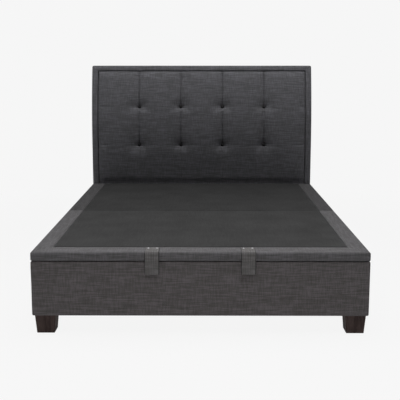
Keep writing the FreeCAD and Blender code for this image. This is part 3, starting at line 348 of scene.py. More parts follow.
def scaled(place, scale, seed=0.0):
    """Coordinates times a scale for each axis, moved a little by the seed."""
    return add(place.id_data, "Mapping", place, (seed, seed * 1.7, seed * 0.6), None, scale)


def noise(place, scale, detail, seed):
    """Noise whose grain is drawn out: a small scale along an axis makes long streaks there."""
    return add(place.id_data, "TexNoise", scaled(place, scale, seed), None, 1.0, detail)

# %% [markdown]
# ## Charcoal linen
#
# The bed is covered in a slubby plain weave: uneven yarns, so that short light and dark dashes
# cross each other at right angles. Wide noise streaks give the dashes seen from across a room,
# and fine ones with a checkered over and under give the single yarns seen close by; the grooves
# between the yarns are painted darker, which is painted shade. Every linen has the same three
# tones, each times its own factor: the colour of its dye bath, and for the darker copy on the
# rear border and the buttons, painted shade.

# %% Woven finishes
YARN = 0.0014
CHARCOAL = np.array([(0.054, 0.053, 0.053), (0.083, 0.080, 0.083), (0.128, 0.123, 0.133)])
SHEEN = {"Sheen_Weight": 0.06, "Sheen_Roughness": 0.5, "Specular_IOR_Level": 0.12}


def woven(name, dye_and_shade=(1.0, 1.0, 1.0), ribs=0.0, outer=None):
    """A plain weave: long slubs along both yarns, each yarn's round top, and a drifting dye.

    Ribs are that far apart; the grooves between the ribs and between the yarns are painted darker,
    which is painted shade. Past the first number of outer, measured from the cloth's middle, it
    is painted darker by the second: painted shade. dye_and_shade multiplies the three tones: a dye
    bath's colour, and for the darker copy of the linen painted shade.
    """
    dark, middle, light = map(tuple, (CHARCOAL * dye_and_shade).tolist())
    finish, shader, cloth = new_finish(name, "cloth", **SHEEN)
    weft_slubs = stretch_range(noise(cloth, (14, 190, 1), 1, 1), 0.36, 0.64)
    warp_slubs = stretch_range(noise(cloth, (190, 20, 1), 1, 2), 0.36, 0.64)
    wide = maths("MULTIPLY_ADD", weft_slubs, 1.5, warp_slubs)
    fine = maths("ADD", noise(cloth, (45, 720, 1), 2, 3), noise(cloth, (720, 45, 1), 2, 4))
    dye = noise(cloth, (7, 7, 1), 3, 5)
    tone = stretch_range(weighted((fine, 0.2), (wide, 0.26), (dye, 0.1)), 0.1, 1.05)
    shade = mix_colours(stretch_range(tone, 0, 0.5), dark, middle)
    shade = mix_colours(stretch_range(tone, 0.5, 1), shade, light)
    over = add(finish.node_tree, "TexChecker", scaled(cloth, (1 / YARN, 1 / YARN, 1)),
               (1, 1, 1, 1), (0, 0, 0, 1), 1.0)
    u, v = split(cloth)
    across, along = (maths("ABSOLUTE", sine(part, math.pi / YARN)) for part in (u, v))
    yarns = maths("MULTIPLY_ADD", over, maths("SUBTRACT", across, along), along)
    # The gaps between the yarns are painted darker: painted shade in the grooves.
    shade = mix_colours(stretch_range(yarns, 0.0, 0.55, 0.45, 0.0), shade, times(dark, 0.55))
    height = weighted((wide, 0.22), (yarns, 0.5))
    if ribs:
        wave = sine(u, 2 * math.pi / ribs)
        height = maths("MULTIPLY_ADD", wave, 0.5, height)
        # The rib grooves are painted darker: painted shade.
        shade = mix_colours(stretch_range(wave, -1.0, 0.1, 0.55, 0.0), shade, dark)
    # Past outer the cloth is painted darker: painted shade.
    if outer:
        border, darker = outer
        past = stretch_range(maths("ABSOLUTE", u), border - 0.0015, border, 0.0, darker)
        shade = mix_colours(past, shade, times(dark, 0.3))
    return complete(finish, shader, shade, stretch_range(tone, 0, 1, 0.96, 0.8), height, (0.55, 0.0007))


# Past the bed's half width, on its sides, the front border is painted 15% darker: painted shade against the
# brighter front.
linen = woven("charcoal_linen", outer=(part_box("border_cover_front")[1].x, 0.15))
rail_linen = woven("charcoal_linen_rails", (1.0, 0.95, 0.92))
head_linen = woven("charcoal_linen_headboard", (1.09, 1.12, 1.16))
# A darker copy of the linen, 0.43 of its tones: painted shade for the dimmer rear border and the button pits.
painted_shade_linen = woven("charcoal_linen_painted_shade", (0.43, 0.43, 0.43))
# The strap's outer 3 mm on each side is painted darker, painted shade for the dark lines beside it; its rib
# grooves are painted darker too.
strap_linen = woven("strap_linen", (1.26, 1.25, 1.2), ribs=0.0115, outer=(0.0325, 0.8))
print("woven finishes:", linen.name, rail_linen.name, head_linen.name, painted_shade_linen.name, strap_linen.name)

# %% [markdown]
# ## Black cloth
#
# The middle of the deck is covered with a black felted cloth that keeps a mattress from
# sliding, and a thinner one of the same kind lines the back. Felt has no yarns, only short
# fibres in all directions, so plain noise at three scales is right here.

# %% Felted finish
def felted(name, dark, light, fibre=900.0, shade_span=None, **shader_values):
    """Felt: fine fibres, soft cloudy patches and a dry surface. From one y of shade_span to the next,
    it is painted darker, from its third number to its fourth: painted shade.
    """
    finish, shader, cloth = new_finish(name, "cloth", **shader_values)
    fibres = noise(cloth, (fibre, fibre, 1), 3, 1)
    clouds, drawn = noise(cloth, (6, 6, 1), 4, 2), noise(cloth, (150, 9, 1), 2, 3)
    tone = stretch_range(weighted((clouds, 0.3), (fibres, 0.5), (drawn, 0.2)), 0.36, 0.64)
    shade = mix_colours(tone, dark, light)
    # Painted shade: darker towards the headboard.
    if shade_span:
        shade = mix_colours(stretch_range(split(cloth)[1], *shade_span), shade, (0, 0, 0))
    return complete(finish, shader, shade, stretch_range(tone, 0, 1, 1.0, 0.86), fibres, (0.5, 0.0005))


DRY = {"Sheen_Weight": 0.03, "Sheen_Roughness": 0.6, "Specular_IOR_Level": 0.1}
# The rear cloth is a darker copy, and is painted darker still towards the headboard: painted shade.
deck_felts = {"front": felted("deck_felt", (0.015, 0.015, 0.015), (0.0295, 0.0295, 0.0295), **DRY),
              "rear": felted("deck_felt_against_the_nap", (0.0106, 0.0106, 0.0106),
                             (0.0212, 0.0212, 0.0212), shade_span=(0.25, 0.95, 0.0, 0.36), **DRY)}
back_felt = felted("back_felt", (0.010, 0.010, 0.011), (0.026, 0.026, 0.028), fibre=500.0)

# %% [markdown]
# ## The leaning face
#
# The headboard is upright up to 0.7 m and then leans back on a circle of 2 m. It is easiest to
# draw its pieces flat, as a width, a height along the cloth and a depth, and to bend them with
# one function. Everything on the headboard goes through it, so the pieces always fit.

# %% Bend a flat piece onto the headboard
BEND_FROM, BEND_RADIUS = 0.700, 2.000
FACE_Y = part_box("headboard_border")[0].y


def along_of(height):
    """The distance along the cloth for a height above the floor: an arc's length above the bend."""
    rise = np.maximum(np.asarray(height, float) - BEND_FROM, 0)
    return np.minimum(height, BEND_FROM) + BEND_RADIUS * np.arcsin(rise / BEND_RADIUS)


def lean(across, along, out):
    """Width, height along the cloth and distance out of the face, as a point on the bed.

    The angle is the arc past the bend over the radius; out is measured square to the face.
    """
    angle = np.maximum(along - BEND_FROM, 0) / BEND_RADIUS
    y = FACE_Y + BEND_RADIUS * (1 - np.cos(angle)) - out * np.cos(angle)
    z = np.minimum(along, BEND_FROM) + BEND_RADIUS * np.sin(angle) + out * np.sin(angle)
    return np.stack(np.broadcast_arrays(across, y, z), -1)


HALF, BOARD_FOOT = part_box("headboard_border")[1].x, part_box("headboard_border")[0].z
BOARD_TOP = float(along_of(1.280))
BORDER, PAD_GAP = 0.045, 0.0025
FOAM_BACK, BOARD_BACK = -0.0395, -0.0595
print("headboard cloth reaches", round(BOARD_TOP, 4), "m along its face")

# %% [markdown]
# ## The headboard's border
#
# A padded roll 45 mm wide runs up both sides and over the top. Its section is a rounded L: the
# padded face in front and a thin wall round the edge of the board. It could be cut from a
# box, but a section carried round three sides keeps the weave and the corners true. Under the
# cushion there is no roll, only a plain strip of the same cloth.

# %% Border
EDGE_WALL, SWELL = 0.0055, 0.0022
OUTER_CORNER, INNER_CORNER = 0.012, 0.002
PANEL_FACE = -0.0004


def make_border():
    """The L section (inset from the outline, out of the face) carried round the headboard."""
    corners = [(BORDER, FOAM_BACK), (BORDER, 0), (0, 0), (0, BOARD_BACK), (EDGE_WALL, BOARD_BACK),
               (EDGE_WALL, FOAM_BACK)]
    section = soft_line(corners, [0.001, 0.010, 0.011, 0.003, 0.001, 0.001], step=0.004, closed=True)
    inset, out = section.T
    swell = np.where(out > -0.012, np.sin(math.pi * np.clip(inset / BORDER, 0, 1)) ** 0.8, 0)
    radius = np.interp(inset, [0, BORDER], [OUTER_CORNER, INNER_CORNER])
    across, along, edge = round_three_sides(HALF, BOARD_FOOT, BOARD_TOP, inset, radius)
    wave = uneven(across + 3 * along, along - across, 0.0007, 1.0)
    depth = (out + SWELL * swell)[:, None] + np.where(out[:, None] > -0.02, wave, 0)
    flat = np.broadcast_arrays(np.vstack([edge, edge[:1]]).T, distance_along(section, closed=True))
    mesh = grid_mesh("headboard_roll", lean(across, along, depth).transpose(1, 0, 2),
                     np.stack(flat, -1), closed=True)
    return show(tidy_shell(mesh), head_linen, "base", ["headboard_border"])


def make_foot_panel():
    """A closed section (height, out of the face) moved across; it stays behind the plane of the face."""
    foot, top, half = BOARD_FOOT + 0.0015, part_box("headboard_cushion")[0].z - PAD_GAP, HALF - BORDER
    section = soft_line([(foot, FOAM_BACK), (foot, PANEL_FACE), (top, PANEL_FACE), (top, FOAM_BACK)],
                        [0.001, 0.007, 0.007, 0.001], step=0.012, closed=True)
    xs = np.linspace(-half, half, 130)[:, None]
    along, out = (part + 0 * xs for part in section.T)
    dents = np.where(out > -0.005, np.minimum(uneven(xs, along * 2, 0.0008, 6.0), 0), 0)
    flat = np.stack(np.meshgrid(distance_along(section, closed=True), xs[:, 0])[::-1], -1)
    mesh = grid_mesh("headboard_foot_panel", lean(xs, along, out + dents), flat, closed=True)
    return show(tidy_shell(mesh), head_linen, "base", ["headboard_border"])


make_border()
make_foot_panel()

# %% [markdown]
# ## The headboard's cushion
#
# The cushion is a slab of foam under linen. Four seams run down from its top edge and divide it
# into five channels, and two rows of covered buttons pull the seams in. The seams are sewn deep
# between the top and the lower buttons and fade out below.
#
# We make it in two steps. A cloth simulation puffs a coarse sheet that is held at its rim, its
# seams and its buttons, which gives folds that no formula has. Then a fine surface takes the
# simulated heights and adds what is smaller than a fold: the seam lines and the button pits.

# %% Where the seams and buttons are
PAD_HALF, PAD_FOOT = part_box("headboard_cushion")[1].x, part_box("headboard_cushion")[0].z
PAD_TOP = BOARD_TOP - BORDER - PAD_GAP
PAD_RIM = 0.012
PITCH = 0.3065
SEAMS = PITCH * np.array([-1.5, -0.5, 0.5, 1.5])
ROWS = along_of(np.array([0.697, 0.979]))
BELL_DEPTH, BELL_REACH = 0.0080, 0.036
POCKET_DEPTH, POCKET_REACH = 0.0125, 0.0200
buttons_x, buttons_s = (part.ravel() for part in np.meshgrid(SEAMS, ROWS))


def near_seam(across):
    """Distance from each point to its nearest seam."""
    return np.abs(across[..., None] - SEAMS).min(-1)


def near_button(across, along):
    """Distance and direction from each point to its nearest button."""
    dx, ds = across[..., None] - buttons_x, along[..., None] - buttons_s
    distance = np.hypot(dx, ds)
    nearest = distance.argmin(-1)[..., None]
    pick = [np.take_along_axis(part, nearest, -1)[..., 0] for part in (distance, dx, ds)]
    return pick[0], np.arctan2(pick[2], pick[1])


def eased(share):
    """A step without corners: 3 t^2 - 2 t^3 between 0 and 1."""
    share = np.clip(share, 0, 1)
    return share * share * (3 - 2 * share)


def seam_strength(along):
    """How deeply the seams are sewn: full above each button, slack just below it, little at the foot."""
    low, high = ROWS
    places = [PAD_FOOT, low - 0.20, low - 0.03, low, low + 0.10, high - 0.12, high - 0.03, high, PAD_TOP]
    return np.interp(along, places, [0.1, 0.2, 0.3, 1.0, 0.85, 0.5, 0.35, 1.0, 0.78])


def soft_shape(across, along):
    """The large form: channels swell between their seams, and each button draws a hollow.

    The hollow is a wide shallow bell and a narrow pocket, deepest at the button's lower edge. Both
    end there in a steep step, the fold of the cloth, and almost nothing is drawn in below it.
    """
    edges = np.concatenate([[-PAD_HALF], SEAMS, [PAD_HALF]])
    channel = np.clip(np.searchsorted(edges, across) - 1, 0, len(edges) - 2)
    place = (across - edges[channel]) / (edges[channel + 1] - edges[channel])
    puff = 1 - np.abs(2 * place - 1) ** 2.6
    strength = seam_strength(along)
    crown = np.interp(along, [PAD_FOOT, 0.42, 0.52, 0.64, PAD_TOP], [0.1, 0.16, 0.55, 1.0, 1.0])
    rise = crown * (0.0035 + 0.0065 * (strength * puff + (1 - strength)))
    distance, angle = near_button(across, along)
    beside, above = distance * np.cos(angle), distance * np.sin(angle)
    over_fold = eased((above + 0.0135) / 0.0024)
    bell = BELL_DEPTH * (0.06 + 0.94 * over_fold) * fade(distance, BELL_REACH, 1.8)
    pocket = POCKET_DEPTH * fade(np.abs(beside), POCKET_REACH, 2.6) * over_fold
    pocket = pocket * fade(np.maximum(above + 0.0115, 0), 0.027, 1.4)
    folds = 0.0007 * np.cos(5 * angle + 0.5 * math.pi) * fade(distance - 0.032, 0.016)
    return rise - bell - pocket + folds * (above > 0)


print("buttons stand at", np.round(np.stack([buttons_x, buttons_s], 1), 3).tolist()[:2], "...")

# %% [markdown]
# The simulated sheet has one point every 9 mm. It is pinned at the rim, along the seams and
# under the buttons, and a light pressure fills it. Because the sheet is a grid, what comes back
# is again an array of heights, and no point may move further than a set cap.

# %% Cloth simulation of the padding
STEPS = 20
SHEET = {"quality": 6, "mass": 0.25, "tension_stiffness": 25, "compression_stiffness": 25,
         "shear_stiffness": 8, "bending_stiffness": 0.3, "shrink_min": -0.012, "use_pressure": True,
         "uniform_pressure_force": 4, "vertex_group_mass": "held", "pin_stiffness": 1.0}


def puffed_heights(across, along, cap=0.007):
    """How far the held sheet moves out under pressure, as an array of heights on the same grid."""
    start = lean(across, along, soft_shape(across, along))
    distance, _ = near_button(across, along)
    rim = np.minimum.reduce([PAD_HALF - np.abs(across), PAD_TOP - along, along - PAD_FOOT])
    held = fade(near_seam(across), 0.009) * seam_strength(along)
    held = np.clip(np.maximum.reduce([held, fade(distance, 0.017, 4), rim < PAD_RIM]), 0, 1)
    mesh = grid_mesh("held_sheet", start, np.stack([across, along], -1))
    sheet = bpy.data.objects.new("held_sheet", mesh)
    scene.collection.objects.link(sheet)
    pins = sheet.vertex_groups.new(name="held")
    levels = np.round(held.ravel(), 1)
    for level in np.unique(levels[levels > 0]):
        pins.add(np.flatnonzero(levels == level).tolist(), float(level), "REPLACE")
    cloth = sheet.modifiers.new("cloth", "CLOTH")
    for key, value in SHEET.items():
        setattr(cloth.settings, key, value)
    cloth.settings.effector_weights.gravity = 0
    cloth.collision_settings.use_collision = False
    for step in range(1, STEPS + 1):
        scene.frame_set(step)
    settled = sheet.evaluated_get(bpy.context.evaluated_depsgraph_get())
    moved = np.zeros(start.size, np.float32)
    settled.data.vertices.foreach_get("co", moved)
    scene.frame_set(1)
    bpy.data.objects.remove(sheet)
    angle = np.maximum(along - BEND_FROM, 0) / BEND_RADIUS
    move = moved.reshape(start.shape) - start
    out = -move[..., 1] * np.cos(angle) + move[..., 2] * np.sin(angle)
    most, mean = (round(float(part) * 1000, 1) for part in (out.max(), out.mean()))
    print("puffed by", most, "mm at most,", mean, "on average")
    return cap * np.tanh(out / cap)


def heights_between(grid_x, grid_s, heights, across, along):
    """Heights between the grid's points, by plain shares of the four neighbours."""
    column = np.clip((across - grid_x[0]) / (grid_x[1] - grid_x[0]), 0, len(grid_x) - 1.001)
    row = np.clip((along - grid_s[0]) / (grid_s[1] - grid_s[0]), 0, len(grid_s) - 1.001)
    j, i = column.astype(int), row.astype(int)
    tj, ti = column - j, row - i
    low, high = (heights[k, j] * (1 - tj) + heights[k, j + 1] * tj for k in (i, i + 1))
    return low * (1 - ti) + high * ti


grid_x, grid_s = np.linspace(-PAD_HALF, PAD_HALF, 171), np.linspace(PAD_FOOT, PAD_TOP, 103)
puffed = puffed_heights(*np.meshgrid(grid_x, grid_s))

# %% [markdown]
# Now the fine surface. Its lines crowd together where a seam, a button or the rim needs them,
# as the running total of a density says. Each row of points goes across the front, round the
# right side, back behind the foam and round the left, so the cushion is one closed form.

# %% The fine cushion
def crowded(low, high, centres, reach, fine, coarse):
    """Places between low and high, a fine step apart near the centres and a coarse one elsewhere."""
    dense = np.linspace(low, high, 6000)
    closest = np.abs(dense[:, None] - np.asarray(centres)).min(1)
    step = fine + (coarse - fine) * np.clip((closest - reach) / (2 * reach), 0, 1)
    total = np.concatenate([[0], np.cumsum((1 / step)[1:] * np.diff(dense))])
    return np.interp(np.linspace(0, total[-1], int(total[-1]) + 1), total, dense)


def rim_drop(distance, radius):
    """A quarter circle: nothing beyond the radius, the whole radius at the rim."""
    share = 1 - np.clip(distance / radius, 0, 1)
    return radius * (1 - np.sqrt(1 - share ** 2))


CREASE_DEPTH, CREASE_REACH = 0.0075, 0.0030
VALLEY_DEPTH, VALLEY_REACH = 0.0030, 0.010
PIT_DEPTH, PIT_REACH = 0.0045, 0.0125
SIDE_CLOTH = 0.04


def make_cushion():
    """Soft shape, plus simulated puff, less seam lines, button pits and the rounded rim."""
    xs = crowded(-PAD_HALF, PAD_HALF, [-PAD_HALF, *SEAMS, PAD_HALF], 0.014, 0.0016, 0.008)
    ss = crowded(PAD_FOOT, PAD_TOP, [PAD_FOOT, *(ROWS - 0.010), PAD_TOP], 0.010, 0.0012, 0.008)
    across, along = np.meshgrid(xs, ss)
    height = soft_shape(across, along) + heights_between(grid_x, grid_s, puffed, across, along)
    wander = 0.25 * np.sin(along * 190) + 0.2 * np.sin(along * 83 + across * 9)
    to_seam = near_seam(across)
    seams = CREASE_DEPTH * fade(to_seam, CREASE_REACH) + VALLEY_DEPTH * fade(to_seam, VALLEY_REACH)
    height -= seam_strength(along) * (1 + 0.25 * wander) * seams
    distance, angle = near_button(across, along)
    height -= PIT_DEPTH * fade(distance, PIT_REACH, 6)
    height += 0.0005 * np.cos(9 * angle + 0.7) * fade(distance - 0.017, 0.006) * (angle > 0)
    height -= rim_drop(PAD_HALF - np.abs(across), PAD_RIM) + rim_drop(PAD_TOP - along, 0.008)
    height -= rim_drop(along - PAD_FOOT, PAD_RIM)
    height += uneven(across, along, 0.0006, 4.0)
    height = np.minimum(height, np.interp(along, [0.42, 0.50], [0.0025, 0.02]))
    side = np.linspace(0, 1, 7)[1:]
    back = np.linspace(PAD_HALF, -PAD_HALF, 40)[1:]
    right = height[:, -1:] + (FOAM_BACK - height[:, -1:]) * side
    left = (height[:, :1] + (FOAM_BACK - height[:, :1]) * side)[:, ::-1][:, 1:]
    width = np.hstack([across, np.full_like(right, PAD_HALF), np.tile(back, (len(ss), 1)),
                       np.full_like(left, -PAD_HALF)])
    out = np.hstack([height, right, np.full((len(ss), len(back)), FOAM_BACK), left])
    points = lean(width, np.repeat(ss[:, None], width.shape[1], 1), out)
    behind = PAD_HALF + SIDE_CLOTH + (PAD_HALF - back)
    run = np.concatenate([xs, PAD_HALF + SIDE_CLOTH * side, behind, behind[-1] + SIDE_CLOTH * side[1:],
                          [behind[-1] + SIDE_CLOTH + 0.005]])
    flat = np.stack(np.meshgrid(run, ss), -1)[:, :points.shape[1] + 1]
    mesh = grid_mesh("headboard_cushion_cover", points, flat, closed=True)
    return show(tidy_shell(mesh, 1e-6), head_linen, "base", ["headboard_cushion"])


make_cushion()

# %% [markdown]
# ## Covered buttons
#
# Each button is a metal cap with a disc of the same linen stretched over it, in its darker copy,
# whose darkness is painted shade. One profile, a low dome that turns under at its edge, is spun
# round the line that stands out of the face.
# The same two helpers, one to spin and one to copy, serve for the tacks, staples and floor.

# %% Buttons
TIP = 0.3


def spin(profile, turns=24):
    """A profile of (radius, height) turned about the upright axis: radius times cosine and sine."""
    angle = np.linspace(0, 2 * math.pi, turns + 1)[:-1]
    radius, height = profile[:, :1], profile[:, 1:] + 0 * angle
    return np.stack([radius * np.cos(angle), radius * np.sin(angle), height], -1)


def copies(shape, places, turned=0.0):
    """Points and faces of one closed grid, turned about its upright axis and copied to each place."""
    x, y, z = shape.reshape(-1, 3).T
    turned = np.broadcast_to(turned, len(places))[:, None]
    cos, sin = np.cos(turned), np.sin(turned)
    points = np.stack([x * cos - y * sin, x * sin + y * cos, z + 0 * cos], -1) + places[:, None]
    faces = grid_faces(*shape.shape[:2], closed=True) + len(x) * np.arange(len(places))[:, None, None]
    return points.reshape(-1, 3), faces.reshape(-1, 4)


def make_buttons():
    """A low dome (radius, out) turned about each button's own line.

    The thread pulls each one down a little, so it looks towards the floor by TIP in every metre.
    """
    profile = soft_line([(0, -0.0092), (0.008, -0.0099), (0.0125, -0.0138), (0.011, -0.0200)],
                        [0, 0.010, 0.003, 0], step=0.0015, turn=5)
    profile[0, 0] = 0.0001
    cap = spin(profile, 32)
    cap[..., 2] += TIP * cap[..., 1]
    points, faces = copies(cap, np.stack([buttons_x, buttons_s, 0 * buttons_x], -1))
    disc = grid_cloth(np.concatenate([cap, cap[:, :1]], 1)[..., :2])
    flat = np.concatenate([disc + [x, 2 * s] for x, s in zip(buttons_x, buttons_s)])
    mesh = new_mesh("covered_buttons", lean(*points.T), faces, flat)
    # The buttons wear the darker copy of the linen: painted shade in their pits.
    return show(tidy_shell(mesh, 1e-6), painted_shade_linen, "base", ["headboard_buttons"])


make_buttons()

# %% [markdown]
# ## Finishing the cloth on the rails and the deck
#
# The rails are boards with linen pulled over them and stapled inside. Each cover is a section,
# under the board, up its face and over its top, carried round the board's outside. The deck's
# border is the same idea with a wider top, and its path is a U round three sides of the lid.

# %% Rail covers
LINEN_THICK, MOST_OUT = 0.003, 0.0008
BED_CORNER, LEAST_CORNER = 0.008, 0.0015
RAIL_LOW, RAIL_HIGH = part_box("foot_rail_cover")
TURNED_IN = RAIL_HIGH.y - RAIL_LOW.y - 0.001
RAIL_SECTION = soft_line([(TURNED_IN, RAIL_LOW.z), (0, RAIL_LOW.z), (0, RAIL_HIGH.z),
                          (TURNED_IN, RAIL_HIGH.z)], [0, 0.007, 0.007, 0])


def on_face(height, low, high):
    """1 on a section's upright face, and less within 30 mm of its lower and upper edge."""
    return np.clip(np.minimum(height - low, high - height) / 0.03, 0, 1)


def on_top(inset, height, high):
    """1 on a section's top, and less within 20 mm of its outer edge."""
    return np.clip((height - high + 0.004) / 0.004, 0, 1) * np.clip(inset / 0.02, 0, 1)


def carry_round(name, section, start, reach, seed, far_inset=None, wave=0.0006):
    """A section of (inset, height) carried round three sides of the bed's foot end.

    Long waves push the face out and lift the top. The path's far side is the foot end of the bed,
    so y falls as the path's reach grows.
    """
    inset, height = section.T
    radius = np.maximum(BED_CORNER - inset, LEAST_CORNER)
    across, along, edge = round_three_sides(HALF, start, reach, inset, radius, far_inset, step=0.02)
    run = distance_along(section)[:, None] + 0 * edge
    low, high = height.min(), height.max()
    out = uneven(edge * 1.3, run * 2, wave, seed)
    push = np.minimum(out, MOST_OUT) * on_face(height, low, high)[:, None]
    on_side = np.abs(across) > HALF - 0.05
    across = across + np.where(on_side, np.sign(across) * push, 0)
    along = along + np.where(on_side, 0, push)
    lifted = height[:, None] + 0.5 * out * on_top(inset, height, high)[:, None]
    return grid_mesh(name, np.stack([across.T, -along.T, lifted.T], -1), np.stack([edge.T, run.T], -1))


mesh = carry_round("foot_rail_linen", RAIL_SECTION, -RAIL_HIGH.y, -RAIL_LOW.y, 2.0)
show_sheet(mesh, (0, RAIL_HIGH.y + 0.2, 0.23), LINEN_THICK, rail_linen, "base",
           "foot_rail_cover")

# %% [markdown]
# The side rails are straight, so their section only moves along y. Their linen ends at the foot
# rail in front and at the headboard behind, where the boards are bolted together.

# %% Side rail covers
SIDES = (("left", -1), ("right", 1))


def carry_straight(section, ys, shift):
    """A section repeated along y: grids of y, inset and height, and the flat place of each point."""
    y, inset = np.meshgrid(ys, section[:, 0], indexing="ij")
    height, run = (part + 0 * y for part in (section[:, 1], distance_along(section)))
    return y, inset, height, np.stack([y + shift, run], -1)


def make_side_linen(side, sign):
    """Long shallow waves push the face in and out."""
    low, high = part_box(f"side_rail_cover_{side}")
    ys = np.linspace(low.y + 0.0004, high.y - 0.0004, 110)
    y, inset, height, flat = carry_straight(RAIL_SECTION, ys, 7 * sign)
    push = np.minimum(uneven(y, height * 3, 0.0007, 5.0 + sign), MOST_OUT)
    push = push * on_face(height, RAIL_LOW.z, RAIL_HIGH.z)
    mesh = grid_mesh(f"side_rail_linen_{side}", np.stack([sign * (HALF - inset + push), y, height], -1), flat)
    show_sheet(mesh, (0, (low.y + high.y) / 2, 0.23), LINEN_THICK, rail_linen, "base",
               f"side_rail_cover_{side}")


for side, sign in SIDES:
    make_side_linen(side, sign)

# %% [markdown]
# ## The lid's linen border
#
# The lid is in two halves. The front half has linen on three sides of its top and the rear half
# on two, because the headboard hides its far end. The linen dips a little where the black cloth
# is sewn to it, turns over a padded edge, and goes under the frame, where it is stapled.

# %% Deck borders
LID_LOW, LID_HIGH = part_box("border_cover_front")
DECK_BORDER, FRONT_BORDER = 0.090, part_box("deck_cloth_front")[0].y - LID_LOW.y
TURNED_UNDER, SEWN_DIP = 0.029, 0.0016


def lid_section():
    """From under the frame, up the side, over the padded edge to the sewn line, where it dips."""
    low, top = LID_LOW.z, LID_HIGH.z
    line = soft_line([(TURNED_UNDER, low), (0, low), (0, top), (DECK_BORDER + 0.0005, top)],
                     [0, 0.006, 0.009, 0])
    dip = SEWN_DIP * fade(line[:, 0] - DECK_BORDER, 0.004)
    line[:, 1] -= np.where(line[:, 1] > top - 0.001, dip, 0)
    return line


def make_front_border():
    """The lid's section on three sides, drawn out on the front from the side's width to its own."""
    section = lid_section()
    inset, height = section.T
    share = np.clip((inset - 0.035) / (DECK_BORDER - 0.035), 0, 1) * (height > LID_LOW.z + 0.02)
    far_inset = inset + (FRONT_BORDER - DECK_BORDER) * share
    mesh = carry_round("deck_border_front", section, -LID_HIGH.y, -LID_LOW.y, 3.0, far_inset, 0.0008)
    show_sheet(mesh, (0, -0.6, 0.385), LINEN_THICK, linen, "platform",
               "border_cover_front")


def make_rear_border(side, sign):
    """The same section moved straight back along one side of the rear half."""
    low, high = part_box("border_cover_rear")
    y, inset, height, flat = carry_straight(lid_section(), np.linspace(low.y, high.y, 70), 5 * sign)
    lift = 0.5 * uneven(y * 1.1, inset * 4, 0.0007, 7.0 + sign) * on_top(inset, height, LID_HIGH.z)
    points = np.stack([sign * (HALF - inset), y, height + lift], -1)
    mesh = grid_mesh(f"deck_border_rear_{side}", points, flat)
    inside = (sign * (HALF - 0.04), (low.y + high.y) / 2, 0.385)
    # The rear border wears the darker copy of the linen: painted shade.
    show_sheet(mesh, inside, LINEN_THICK, painted_shade_linen, "platform", "border_cover_rear")


print("lid section has", len(lid_section()), "points")
make_front_border()
for side, sign in SIDES:
    make_rear_border(side, sign)

# %% [markdown]
# ## The deck cloths
#
# The black cloth is stretched over the deck boards, one sheet for each half. It turns down into
# the joint between the halves, which is the fine dark line across the middle of the deck.

# %% Deck cloths
def make_deck_cloth(half, seed):
    """Height over (x, y): flat, with shallow waves, and a small round fall at the middle joint."""
    low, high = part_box(f"deck_cloth_{half}")
    joint = high.y if half == "front" else low.y
    xs = np.linspace(low.x + 0.0003, high.x - 0.0003, 150)
    ys = crowded(low.y + 0.0003, high.y - 0.0003, [joint], 0.005, 0.0008, 0.012)
    x, y = np.meshgrid(xs, ys)
    rim = np.minimum(np.minimum(x - low.x, high.x - x), np.where(half == "front", y - low.y, 1.0))
    fall = rim_drop(np.abs(y - joint), 0.0035)
    waves = uneven(x, y * 1.2, 0.0005, seed) * np.clip(rim / 0.03, 0, 1)
    points = np.stack([x, y, high.z - 0.0004 + waves - fall - 0.0012 * fade(rim, 0.004)], -1)
    mesh = grid_mesh(f"deck_felt_{half}", points, points[..., :2])
    inside = (0, (low.y + high.y) / 2, low.z - 5)
    show_sheet(mesh, inside, 0.0025, deck_felts[half], "platform", f"deck_cloth_{half}")


make_deck_cloth("front", 3.0)
make_deck_cloth("rear", 4.0)

# %% [markdown]
# ## Pull straps
#
# Two straps of folded linen lift the lid. Each is nailed on top and hangs over the front edge.
# It is one ribbon: a path over the edge and down, and a flat oval section with slightly fatter
# hems. The ribbon rides on no body; it stays where it is drawn.

# %% Straps
TACKS_APART = 0.042
STRAP_THICK = STRAP_OFF = 0.0036


